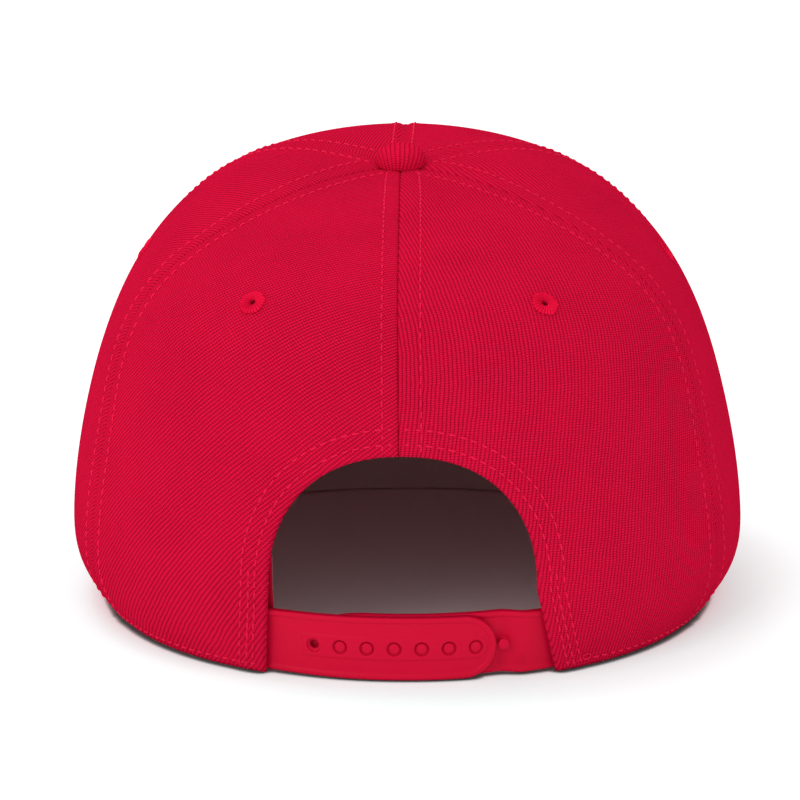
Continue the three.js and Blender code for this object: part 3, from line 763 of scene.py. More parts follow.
class Finishes:
    """Every material of the cap, made once."""

    RIB: Colour = (0.70, 0.0066, 0.046, 1)
    # The valley colours are darker copies of the rib colours: painted shade in the weave.
    VALLEY_SHADE: Colour = (0.15, 0.0008, 0.008, 1)
    BUTTON_RIB: Colour = (0.74, 0.0064, 0.048, 1)
    BUTTON_VALLEY_SHADE: Colour = (0.2, 0.001, 0.009, 1)
    LINING: Colour = (0.62, 0.39, 0.40, 1)
    LINING_DARK: Colour = (0.52, 0.33, 0.34, 1)
    BAND: Colour = (0.52, 0.004, 0.028, 1)
    BAND_DARK: Colour = (0.38, 0.003, 0.020, 1)
    # The darker thread colours are painted shade in the grooves between plies.
    THREAD: Colour = (0.90, 0.014, 0.078, 1)
    THREAD_GROOVE_SHADE: Colour = (0.70, 0.008, 0.048, 1)
    EYELET: Colour = (0.78, 0.007, 0.050, 1)
    EYELET_GROOVE_SHADE: Colour = (0.42, 0.002, 0.022, 1)
    PLASTIC: Colour = (0.57, 0.0018, 0.030, 1)
    PLASTIC_DARK: Colour = (0.54, 0.0016, 0.028, 1)

    def __init__(self) -> None:
        """Makes the materials."""
        self.twill = Twill("crown_twill", self.RIB, self.VALLEY_SHADE).make()
        button = Twill("button_twill", self.BUTTON_RIB, self.BUTTON_VALLEY_SHADE, pitch=1.35, slant=90.0)
        self.button = button.make()
        self.lining = Plain("crown_inside", self.LINING, self.LINING_DARK, 0.95, relief=0.1).make()
        self.band = Plain("band_cloth", self.BAND, self.BAND_DARK, 0.9, grain=1500.0, relief=0.08).make()
        self.thread = Thread("seam_thread", self.THREAD, self.THREAD_GROOVE_SHADE).make()
        self.eyelet = Thread("eyelet_thread", self.EYELET, self.EYELET_GROOVE_SHADE, specular=0.0).make()
        plastic = Plain("snap_plastic", self.PLASTIC, self.PLASTIC_DARK, 0.42, grain=400.0, relief=0.012,
                        specular=0.07)
        self.plastic = plastic.make()


# Crown panels


@dataclass
class Panel:
    """One of the crown's six panels, with rolled edges and pressed seams."""

    crown: Crown
    name: str
    first: int
    eyelet: float
    row_first: float = Crown.seam_row
    row_last: float = Crown.seam_row
    seam_first: float = 0.3
    seam_last: float = 0.3
    notch_first: float = 0.0
    notch_last: float = 0.0
    grain: float = 0.0
    bend: bool = False
    step: float = 0.9
    edge: float = 0.8
    meet: float = 1.4
    seam_rise: float = 0.22
    seam_fade: float = 1.6
    row_dip: float = 0.2
    groove: float = 0.55
    pucker: float = 0.08
    hem_rise: float = 0.2
    hem_groove: float = 0.5
    opening_rise: float = 0.32
    opening_dip: float = 0.24
    hole: float = 0.95
    hole_reach: float = 2.5
    shift_reach: float = 4.0
    lean: float = 0.16
    foot_lean: float = 0.5
    foot_height: tuple[float, float] = (12.0, 52.0)

    def seam(self, index: int, at: np.ndarray) -> np.ndarray:
        """Turn of a seam, counted from the back seam round through the wearer's left."""
        at = np.asarray(at, float)
        front = self.crown.front_seam
        back = self.crown.seam_turn(at)
        table = (0 * at, back, front + 0 * at, 180 + 0 * at, 360 - front + 0 * at, 360 - back, 360 + 0 * at)
        return table[index]

    def relief(self, gaps: dict[str, np.ndarray], run: np.ndarray) -> np.ndarray:
        """Height of the cloth over the skin.

        Seam allowances lift a strip beside each seam. A stitch row presses a groove into it, with
        a pucker once a stitch. The rim and the opening have hems of the same kind, and where four
        layers meet at a centre seam the cloth draws in.

        Args:
            gaps: Distances to the panel's edges, in mm.
            run: Length up the panel, for the puckers.

        Returns:
            Heights in mm.
        """
        height = 0 * run
        wave = np.cos(2 * math.pi * run / STITCH_PITCH)
        sides = (
            (gaps["first"], self.row_first, self.notch_first),
            (gaps["last"], self.row_last, self.notch_last),
        )
        for distance, row, notch in sides:
            height += self.seam_rise * (1 - smooth_step(distance, row, row + self.seam_fade))
            height -= self.row_dip * hump(distance, row, self.groove) * (1 + 0.35 * wave)
            height += self.pucker * wave * hump(distance, row, 1.8)
            height -= notch * hump(distance, 0.0, 1.2)
        hem = self.crown.hem_row
        height += self.hem_rise * (1 - smooth_step(gaps["rim"], hem + 0.6, hem + 1.8))
        height -= self.hem_rise * hump(gaps["rim"], hem, self.hem_groove)
        if "arch" in gaps:
            near, far = self.crown.opening_rows
            height += self.opening_rise * (1 - smooth_step(gaps["arch"], far, 9.0))
            height -= self.opening_dip * hump(gaps["arch"], far, self.groove)
            height -= self.opening_dip * hump(gaps["arch"], near, self.groove)
        return height

    def roll(self, distance: np.ndarray) -> np.ndarray:
        """Share of a rounded edge's depth: a quarter circle over the last part of the distance."""
        inward = 1 - np.minimum(distance, self.edge) / self.edge
        return 1 - np.sqrt(np.maximum(0, 1 - inward**2))

    def meeting(self, gaps: dict[str, np.ndarray]) -> np.ndarray:
        """Depth where the two skins meet: near the inside at a free edge, and less at a seam."""
        free = np.minimum(gaps["rim"], gaps.get("arch", gaps["rim"]))
        seam = np.where(gaps["first"] < gaps["last"], self.seam_first, self.seam_last)
        return self.meet + (seam - self.meet) * smooth_step(free, 0.0, 2.5)

    def open_eyelet(self, turn: np.ndarray,
                    at: np.ndarray) -> tuple[np.ndarray, np.ndarray, tuple[int, int]]:
        """Opens one cell of the grid into the eyelet's hole.

        The grid near the eyelet is shifted so that a cell's middle lies on the eyelet's, fading as
        exp(-(r / 4)^2), and then pushed outwards, fading as exp(-(r / 2.5)^2).

        Args:
            turn: The grid's turns.
            at: The grid's shares.

        Returns:
            The new turns and shares, and the cell.
        """
        crown = self.crown
        share, _, _ = crown.eyelet_place(self.eyelet)
        radius = math.radians(1) * float(crown.plan_radius(np.array(self.eyelet), np.array(share)))
        across = (turn - self.eyelet) * radius
        up = np.interp(at, crown.at_table, crown.run_table)
        up = up - np.interp(share, crown.at_table, crown.run_table)
        place = np.stack([across, up], -1)
        middle = (place[:-1, :-1] + place[1:, :-1] + place[1:, 1:] + place[:-1, 1:]) / 4
        cell = np.unravel_index(np.argmin((middle**2).sum(-1)), middle.shape[:2])
        offset = place - middle[cell]
        far = np.linalg.norm(offset, axis=-1, keepdims=True)
        moved = -middle[cell] * hump(far, 0.0, self.shift_reach)
        moved = moved + offset / np.maximum(far, 0.05) * self.hole * hump(far, 0.0, self.hole_reach)
        slope = crown.run_table[-1] / crown.at_table[-1]
        local = float(np.interp(share, crown.at_table, np.gradient(crown.run_table, crown.at_table)))
        slope = np.where(far[..., 0] < 12, local, slope)
        return turn + moved[..., 0] / radius, at + moved[..., 1] / slope, (int(cell[0]), int(cell[1]))

    def layout(self, turn: np.ndarray, at: np.ndarray, run: np.ndarray) -> np.ndarray:
        """Pattern coordinates: the cloth laid flat round the panel's middle line.

        Each height is laid out as the cone that touches it: with k, the cone's constant, and d,
        the turn from the middle line, across is r sin(k d) / k and along is s + r (1 - cos(k d)) / k.
        """
        crown = self.crown
        middle = (self.seam(self.first, at) + self.seam(self.first + 1, at)) / 2
        centre = float(np.mean(middle))
        radius_table = crown.plan_radius(np.full(500, centre), crown.at_table)
        cone_table = -np.gradient(radius_table, along(crown.skin(centre, crown.at_table)))
        cone = np.interp(at, crown.at_table, cone_table)
        cone = np.where(np.abs(cone) < 1e-3, 1e-3, cone)
        angle = cone * np.radians(turn - middle)
        radius = crown.plan_radius(turn, at)
        laid = np.stack([radius * np.sin(angle) / cone, run + radius * (1 - np.cos(angle)) / cone], -1)
        if self.bend:
            table = np.linspace(-20, 260, 400)
            lean = self.lean - self.foot_lean * (1 - smooth_step(table, *self.foot_height))
            laid[..., 0] += np.interp(laid[..., 1], table, np.cumsum(lean) * (table[1] - table[0]))
        c, s = math.cos(math.radians(self.grain)), math.sin(math.radians(self.grain))
        return laid @ np.array([[c, s], [-s, c]])

    def finish(self, turn: np.ndarray, at: np.ndarray, gaps: dict[str, np.ndarray], run: np.ndarray,
               materials: list[bpy.types.Material]) -> bpy.types.Object:
        """Makes the panel's two skins, which meet inside the wall at every edge.

        Args:
            turn: The grid's turns.
            at: The grid's shares of the meridian.
            gaps: Distances to the panel's edges, in mm.
            run: Length up the panel, in mm.
            materials: Finish of the outer skin, and of the inner one.

        Returns:
            The panel.
        """
        nearest = np.minimum.reduce(list(gaps.values()))
        roll = self.roll(nearest)
        deep = self.meeting(gaps)
        relief = self.relief(gaps, run) * smooth_step(nearest, -0.4, 1.6)
        uv = self.layout(turn, at, run)
        turn, at, cell = self.open_eyelet(turn, at)
        outer = self.crown.place(turn, at, relief - deep * roll)
        inner = self.crown.place(turn, at, (self.crown.wall - deep) * roll - self.crown.wall)
        maker = MeshMaker()
        maker.grid(outer, uv, 0, hole=cell)
        maker.grid(inner, uv, 1, flip=True, hole=cell)
        i, j = cell
        loop = [(i, j), (i + 1, j), (i + 1, j + 1), (i, j + 1), (i, j)]
        wall = np.array([[skin[corner] for corner in loop] for skin in (outer, inner)])
        maker.grid(wall, np.array([[uv[corner] for corner in loop]] * 2), 0)
        piece = maker.make(self.name, self.crown.origin, materials)
        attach(piece, BODY)
        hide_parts(self.name)
        return piece

    def build(self, materials: list[bpy.types.Material]) -> bpy.types.Object:
        """Builds a side or front panel: columns from seam to seam, rows from the rim to the top."""
        centre = float(self.seam(self.first, 1.0) + self.seam(self.first + 1, 1.0)) / 2
        top = float(self.crown.share_at_radius(np.array(centre), 2.2))
        table = np.linspace(0, top, 400)
        run_table = along(self.crown.skin(centre, table))
        rows = graded(run_table[-1], self.step, 1.6, 0.0) * run_table[-1]
        at = np.interp(rows, run_table, table)[None, :]
        start, end = self.seam(self.first, at), self.seam(self.first + 1, at)
        widest = math.radians(float((end - start).max())) * self.crown.rim_half_width
        columns = graded(widest, 1.1, 1.6, 1.6)[:, None]
        turn = start + (end - start) * columns
        at = np.broadcast_to(at, turn.shape)
        radius = np.radians(1) * self.crown.plan_radius(turn, at)
        run = np.broadcast_to(rows[None, :], turn.shape)
        gaps = {"first": (turn - start) * radius, "last": (end - turn) * radius, "rim": run}
        return self.finish(turn, at, gaps, run, materials)


@dataclass
class BackPanel(Panel):
    """A back panel, whose inner edge follows the arched opening."""

    grid_width: float = 80.0

    def build(self, materials: list[bpy.types.Material]) -> bpy.types.Object:
        """Builds the panel on a four-sided patch in the crown's flat layout.

        Its four sides are the opening's edge, the rim, the side seam and the back seam, and the
        patch blends each pair of facing sides and takes away the blend of their corners.

        Returns:
            The panel.
        """
        crown = self.crown
        edge_turn, edge_at = crown.opening_edge(self.first == 0)
        arch = crown.flat(edge_turn, edge_at)
        table = crown.at_table
        seam = crown.flat(crown.seam_turn(table), table)[::-1]
        centre = np.stack([np.zeros(200), np.linspace(arch[0, 1], crown.run_table[-1], 200)], -1)
        rim = crown.flat(np.linspace(edge_turn[-1], float(crown.seam_turn(0.0)), 200), np.zeros(200))
        out = graded(self.grid_width, 0.95, 1.6, 1.6)
        down = graded(along(seam)[-1], 1.0, 2.6, 1.2)
        sides = [resample(line, share * along(line)[-1]) for line, share in
                 ((arch, down), (seam, down), (centre, out), (rim, out))]
        a, b = out[:, None, None], down[None, :, None]
        patch = (1 - a) * sides[0][None] + a * sides[1][None]
        patch += (1 - b) * sides[2][:, None] + b * sides[3][:, None]
        patch -= (1 - a) * ((1 - b) * sides[0][0] + b * sides[0][-1])
        patch -= a * ((1 - b) * sides[1][0] + b * sides[1][-1])
        turn, at = crown.unflat(patch)
        turn[-1] = crown.seam_turn(at[-1])
        turn[:, 0] = 0
        radius = np.radians(1) * crown.plan_radius(turn, at)
        spots = patch.reshape(-1, 2)
        gap = np.full(len(spots), np.inf)
        for start in range(0, len(arch), 60):
            apart = np.linalg.norm(spots[:, None] - arch[None, start : start + 61], axis=-1).min(1)
            gap = np.minimum(gap, apart)
        gap = np.where(a[..., 0] == 0, 0, gap.reshape(turn.shape))
        gaps = {
            "first": turn * radius,
            "last": (crown.seam_turn(at) - turn) * radius,
            "rim": patch[..., 1],
            "arch": gap,
        }
        if self.first:
            turn = 360 - turn
            gaps["first"], gaps["last"] = gaps["last"], gaps["first"]
        return self.finish(turn, at, gaps, patch[..., 1], materials)


# Turned pieces: button and eyelets


def turned(profile: np.ndarray, seat: np.ndarray, axis: np.ndarray,
           sides: int) -> tuple[np.ndarray, np.ndarray]:
    """Carries a closed profile of (radius, height) rows round an axis.

    Args:
        profile: Rows of radius and height in mm.
        seat: Point on the axis at height 0.
        axis: Unit direction of the axis.
        sides: Steps round it.

    Returns:
        Grid of points, and the angle of each column.
    """
    side = unit(np.cross(np.array([0.0, 1.0, 0.0]), axis))
    back = np.cross(axis, side)
    angle = np.linspace(0, 2 * math.pi, sides + 1)
    angle[-1] = 0
    ring = np.cos(angle)[:, None] * side + np.sin(angle)[:, None] * back
    points = seat + profile[None, :, :1] * ring[:, None] + profile[None, :, 1:] * axis
    return points, angle


@dataclass
class Button:
    """Cloth-covered button on a shank, with a washer inside."""

    crown: Crown
    radius: float = 7.1
    height: float = 5.2
    shank: float = 1.5
    washer: float = 4.0
    washer_thickness: float = 0.8
    rib_pitch: float = 1.35
    rib_height: float = 0.13
    skirt: float = 0.5
    sides: int = 160

    def near_top(self, turn: float, radius: float) -> np.ndarray:
        """Point of the skin this far from the top in plan."""
        at = self.crown.share_at_radius(np.array(turn), radius)
        return self.crown.skin(turn, at)

    def build(self, material: bpy.types.Material) -> bpy.types.Object:
        """Builds the button: a dome r = R cos(a)^0.7, h = H sin(a)^0.92, with the cloth's ribs raised.

        The pattern lies flat over the top, so across is the length from the top down to a point
        times the sine of its direction. The ribs draw together at the sides, as cloth over a dome.
        """
        front, back = self.near_top(180.0, self.radius), self.near_top(0.0, self.radius)
        tilt = math.atan2(front[2] - back[2], back[1] - front[1])
        axis = np.array([0.0, math.sin(tilt), math.cos(tilt)])
        seat = np.array([self.crown.apex_side, self.crown.apex_back, (front[2] + back[2]) / 2])
        probes = [(self.near_top(turn, self.radius * share) - seat) @ axis
                  for turn in range(0, 360, 15) for share in (0.3, 0.6, 1.0)]
        base = max(probes) + self.crown.clearance
        washer_top = min(probes) - self.crown.wall - 2 * self.crown.clearance
        lean = np.linspace(math.pi / 2, 0, 40)
        dome = np.stack([self.radius * np.cos(lean) ** 0.7, base + self.height * np.sin(lean) ** 0.92], -1)
        turn_in = np.linspace(0, math.pi, 10)[1:]
        lip_radius = self.radius - 0.45 * (1 - np.cos(turn_in))
        lip = np.stack([lip_radius, base - self.skirt * np.sin(turn_in)], -1)
        washer_low = washer_top - self.washer_thickness
        under = np.array([
            (self.radius - 2.4, base + 0.2), (self.shank + 0.4, base + 0.1), (self.shank, base - 0.3),
            (self.shank, washer_top + 0.2), (self.shank + 0.3, washer_top), (self.washer - 0.2, washer_top),
            (self.washer, washer_top - 0.2), (self.washer, washer_low + 0.2),
            (self.washer - 0.2, washer_low), (0.0, washer_low),
        ])
        profile = np.concatenate([dome, lip, under])
        points, angle = turned(profile, seat, axis, self.sides)
        length = along(profile)
        across = length[None, :] * np.cos(angle)[:, None]
        deep = length[None, :] * np.sin(angle)[:, None]
        covered = smooth_step(-length, -length[len(dome) + 6], -length[len(dome) - 1])
        rib = np.abs(np.cos(math.pi * across / self.rib_pitch)) ** 0.8 - 0.5
        outward = unit(points - (seat + axis * (base - 4.0)))
        points = points + outward * (self.rib_height * rib * covered[None, :])[..., None]
        points[:, 0] = points[0, 0]
        maker = MeshMaker()
        maker.grid(points, np.stack([across, deep], -1))
        piece = maker.make("button_cover", self.crown.origin, [material])
        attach(piece, BODY)
        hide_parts("button")
        return piece


@dataclass
class Eyelet:
    """Embroidered ring of radial satin stitches round a hole."""

    crown: Crown
    name: str
    turn: float
    radius: float = 3.45
    hole: float = 0.85
    barrel: float = 1.95
    rise: float = 0.55
    threads: int = 24
    thread_rise: float = 0.3
    thread_reach: float = 0.22
    past_lining: float = 0.25
    bead_steps: int = 15
    thread_steps: int = 10

    def build(self, material: bpy.types.Material, seed: int) -> bpy.types.Object:
        """Builds the ring: a rounded profile, with a raised thread every 1 / threads of a turn.

        The threads reach outwards by uneven lengths, and the finish paints a stripe of shade
        between each two threads, so that each thread is lighter along its middle.

        Args:
            material: The thread's finish.
            seed: Start of the random unevenness of the stitches.

        Returns:
            The ring.
        """
        _, seat, axis = self.crown.eyelet_place(self.turn)
        bead = np.linspace(0, math.pi, self.bead_steps)
        middle = (self.radius + self.hole) / 2
        half = (self.radius - self.hole) / 2
        over = np.stack([middle - half * np.cos(bead), 0.05 + self.rise * np.sin(bead) ** 0.75], -1)
        low = -self.crown.wall - self.past_lining
        profile = np.concatenate([
            [(self.hole, low)], over,
            [(self.radius - 0.1, -0.2), (self.barrel, -0.3), (self.barrel, low), (self.hole, low)],
        ])
        points, angle = turned(profile, seat, axis, self.threads * self.thread_steps)
        phase = angle * self.threads / (2 * math.pi)
        ridge = np.abs(np.sin(math.pi * phase)) ** 0.7
        uneven = np.random.default_rng(seed).normal(0, 1, self.threads)
        uneven = uneven[np.floor(phase).astype(int) % self.threads]
        on_top = np.zeros(len(profile))
        on_top[1 : self.bead_steps + 1] = np.sin(bead) ** 0.5
        lift = self.thread_rise * (ridge - 0.5 + 0.18 * uneven)[:, None] * on_top[None, :]
        outward = unit(points - seat - axis * ((points - seat) @ axis)[..., None])
        outer = np.arange(len(profile)) < self.bead_steps + 2
        reach = np.clip((profile[:, 0] - middle) / half, 0, 1) ** 2 * outer
        spread = (self.thread_reach * ridge + 0.12 * uneven)[:, None] * reach[None, :]
        points = points + axis * lift[..., None] + outward * spread[..., None]
        stripe = np.meshgrid(phase * Thread.ply, along(profile) * 0.03, indexing="ij")
        uv = np.stack(stripe, -1)
        maker = MeshMaker()
        maker.grid(points, uv)
        piece = maker.make(f"ring_{self.name}", self.crown.origin, [material])
        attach(piece, BODY)
        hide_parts(f"eyelet_{self.name}")
        return piece


# Stitches


@dataclass
class Stitching:
    """Rows of thread stitches, joined into one piece."""

    crown: Crown
    name: str
    pitch: float = STITCH_PITCH
    length: float = 2.3
    radius: float = 0.26
    arch: float = 0.2
    sink: float = 0.42
    along_steps: int = 7
    round_steps: int = 7
    seed: int = 11
    maker: MeshMaker = field(default_factory=MeshMaker)

    def row(self, path: np.ndarray, normals: np.ndarray, jitter: float = 0.05) -> None:
        """Adds one row.

        A stitch is a capsule from A to B, with t from 0 to 1 along it: its middle line is
        A + (B - A) t + N (arch - (arch + sink) |2t - 1|^3), and its radius is R sqrt(1 - |2t - 1|^7).

        Args:
            path: Points of the row, on the cloth.
            normals: Outward unit directions there.
            jitter: Unevenness of the stitches' ends, in mm.
        """
        lengths = along(path)
        count = int(round(lengths[-1] / self.pitch))
        if count < 1:
            return
        rng = np.random.default_rng(self.seed + self.maker.count)
        middle = (np.arange(count) + 0.5) * lengths[-1] / count + rng.normal(0, jitter, count)
        half = self.length / 2 + rng.normal(0, jitter, count)
        start = resample(path, middle - half)
        end = resample(path, middle + half)
        normal = unit(np.stack([np.interp(middle, lengths, normals[:, k]) for k in range(3)], -1))
        way = unit(end - start)
        side = unit(np.cross(way, normal))
        sway = rng.normal(0, jitter, (2, count, 1))
        start, end = start + side * sway[0], end + side * sway[1]
        t = np.linspace(0, 1, self.along_steps)
        bent = np.abs(2 * t - 1)
        height = self.arch - (self.arch + self.sink) * bent**3
        thick = self.radius * np.sqrt(np.maximum(0, 1 - bent**7))
        angle = np.linspace(0, 2 * math.pi, self.round_steps + 1)
        angle[-1] = 0
        core = start[:, None] + (end - start)[:, None] * t[None, :, None]
        core = core + normal[:, None] * height[None, :, None]
        ring = np.cos(angle)[None, :, None] * normal[:, None] + np.sin(angle)[None, :, None] * side[:, None]
        points = core[:, :, None] + ring[:, None] * thick[None, :, None, None]
        uv = np.stack(np.broadcast_arrays(self.length * t[:, None], self.radius * angle[None, :]), -1)
        self.maker.grids(points, uv)

    def on_skin(self, line: tuple[np.ndarray, np.ndarray], height: float = 0.04) -> None:
        """Adds a row along a line of the crown's skin, given as turns and shares."""
        turn, at = line
        self.row(self.crown.place(turn, at, height + 0 * at), self.crown.normal(turn, at))

    def build(self, material: bpy.types.Material) -> bpy.types.Object:
        """Makes the piece."""
        piece = self.maker.make(self.name, self.crown.origin, [material])
        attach(piece, BODY)
        return piece


@dataclass
class CrownThreads:
    """The crown's stitches, in four pieces: seams, opening, rim, and a loop of loose thread."""

    crown: Crown
    back_start: float = 0.004
    side_start: float = 0.02
    front_start: float = 0.03
    short_row: float = 5.0
    short_share: float = 0.36
    loop_aside: float = 7.2
    loop_up: float = 3.5
    loop_half_width: float = 1.15
    loop_half_height: float = 0.8

    def seams(self) -> Stitching:
        """Two rows beside each seam."""
        crown = self.crown
        rows = Stitching(crown, "stitches_seams")
        starts = (self.side_start, self.front_start, self.front_start, self.front_start, self.side_start)
        besides = (crown.seam_row, crown.seam_row, crown.front_row, crown.seam_row, crown.seam_row)
        for index, (start, beside) in enumerate(zip(starts, besides), 1):
            for distance in (beside, -beside):
                rows.on_skin(crown.seam_line(index, distance, start))
        left, right = crown.back_rows
        for side, distance in ((True, left), (False, -right)):
            start = float(crown.opening_edge(side)[1][0]) + self.back_start
            rows.on_skin(crown.seam_line(0, distance, start))
        return rows

    def opening(self) -> Stitching:
        """Two rows round the opening, and a short one between them beside the strap."""
        crown = self.crown
        rows = Stitching(crown, "stitches_opening")
        near, far = crown.opening_rows
        for left in (True, False):
            rows.on_skin(crown.beside_opening(left, far), 0.1)
            rows.on_skin(crown.beside_opening(left, near), 0.12)
            rows.on_skin(crown.beside_opening(left, self.short_row, self.short_share), 0.3)
        return rows

    def rim(self, feet: list[float]) -> Stitching:
        """One row along the rim, from one foot of the opening to the other."""
        crown = self.crown
        row = Stitching(crown, "stitches_rim")
        turn = np.linspace(feet[0] + 0.8, 359.2 - feet[1], 900)
        at = crown.share_at_height(turn, crown.rim_lift(turn) + crown.hem_row)
        row.on_skin((turn, at), 0.02)
        return row

    def loop(self, foot: float) -> Stitching:
        """A small closed loop of loose thread beside the right foot."""
        crown = self.crown
        row = Stitching(crown, "thread_loop", pitch=0.55, length=0.95, radius=0.19, arch=0.0, sink=0.0)
        round_it = np.linspace(0, 2 * math.pi, 60)
        aside = -self.loop_aside / math.radians(1) / crown.rim_half_width
        wide = self.loop_half_width * np.cos(round_it) / math.radians(1) / crown.rim_half_width
        turn = 360 - foot + aside + wide
        at = crown.share_at_height(turn, self.loop_up + self.loop_half_height * np.sin(round_it))
        row.row(crown.place(turn, at, 0.35 + 0 * round_it), crown.normal(turn, at), 0.0)
        return row

    def build(self, material: bpy.types.Material) -> list[bpy.types.Object]:
        """Sews every row and makes the four pieces."""
        feet = [float(self.crown.opening_edge(left)[0][-1]) for left in (True, False)]
        rows = (self.seams(), self.opening(), self.rim(feet), self.loop(feet[1]))
        return [row.build(material) for row in rows]


# Visor


@dataclass
class Visor:
    """Stiff board covered in twill, with a rounded edge and rows of stitches."""

    crown: Crown
    seam_gap: float = 0.6
    corner_turn: float = 9.0
    corner_start: float = 0.8
    rows: int = 7
    first_row: float = 4.0
    row_pitch: float = 7.0
    row_end: float = 6.0
    dip: float = 0.22
    columns: int = 230
    grid_depth: float = 72.0

    def reach(self, turn: np.ndarray) -> np.ndarray:
        """Distance from the rim's centre to the visor's edge, found by halving.

        Past its widest line the outline is |x/a|^n + |y/b|^n = 1, and before it straight.
        """
        crown = self.crown
        sine, cosine = np.abs(np.sin(np.radians(turn))), np.abs(np.cos(np.radians(turn)))
        length = crown.rim_front_reach + crown.visor_depth - crown.visor_root
        n = crown.visor_squareness
        low = np.zeros_like(turn)
        high = np.full_like(turn, crown.rim_front_reach + 2 * crown.visor_depth)
        for _ in range(40):
            middle = (low + high) / 2
            ahead = np.maximum(0, middle * cosine - crown.visor_root) / length
            inside = (middle * sine / crown.visor_half_width) ** n + ahead**n < 1
            low, high = np.where(inside, middle, low), np.where(inside, high, middle)
        return (low + high) / 2

    def limits(self, share: np.ndarray) -> tuple[np.ndarray, np.ndarray, np.ndarray]:
        """Turn, and inner and outer radius, at a share of the visor's width."""
        first = self.crown.front_seam + self.seam_gap
        turn = first + (360 - 2 * first) * share
        corner = np.minimum(turn, 360 - turn) - first + self.corner_start
        rounding = np.sqrt(1 - (1 - np.minimum(1, corner / self.corner_turn)) ** 2)
        rim = self.crown.rim_reach(turn)
        return turn, rim - self.crown.wall, rim + (self.reach(turn) - rim) * rounding

    def place(self, share: np.ndarray, radius: np.ndarray, side: float, half: np.ndarray) -> np.ndarray:
        """Point of a face: the arched middle surface, plus or minus half the thickness."""
        turn, _, _ = self.limits(share)
        x = np.sin(np.radians(turn)) * radius
        y = np.cos(np.radians(turn)) * radius
        z = self.crown.visor_under(x) + self.crown.visor_thickness / 2 + side * half
        return np.stack([x, y, z], -1)

    def build(self, twill: bpy.types.Material, thread: bpy.types.Material) -> list[bpy.types.Object]:
        """Builds the board's two faces, which meet in a round edge, and its stitches."""
        share = ((1 - np.cos(np.linspace(0, math.pi, self.columns))) / 2)[:, None]
        _, inner, outer = self.limits(share)
        depth = graded(self.grid_depth, 0.75, 1.6, 1.6)[None, :]
        radius = inner + (outer - inner) * depth
        from_edge = np.minimum(outer - radius, radius - inner + 0 * share)
        board = self.crown.visor_thickness / 2
        inward = board - np.minimum(from_edge, board)
        half = np.sqrt(np.maximum(0, board**2 - inward**2))
        to_front = outer - radius
        for row in range(self.rows):
            half = half - self.dip * hump(to_front, self.first_row + row * self.row_pitch, 0.6)
        half = half * (from_edge > 0)
        maker = MeshMaker()
        for side in (1.0, -1.0):
            points = self.place(share, radius, side, half)
            maker.grid(points, points[..., :2], 0, flip=side < 0)
        piece = maker.make("visor_board", self.crown.origin, [twill])
        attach(piece, BODY)
        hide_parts("visor")
        stitches = Stitching(self.crown, "stitches_visor", pitch=3.4, length=2.8)
        line = np.linspace(0.004, 0.996, 700)
        _, inner, outer = self.limits(line)
        for row in range(self.rows):
            radius = outer - self.first_row - row * self.row_pitch
            keep = radius > inner + self.row_end
            for side in (1.0, -1.0):
                points = self.place(line[keep], radius[keep], side, board - self.dip + 0 * radius[keep])
                stitches.row(points, np.broadcast_to([0.0, 0.0, side], points.shape))
        return [piece, stitches.build(thread)]


# Strap and sweatband


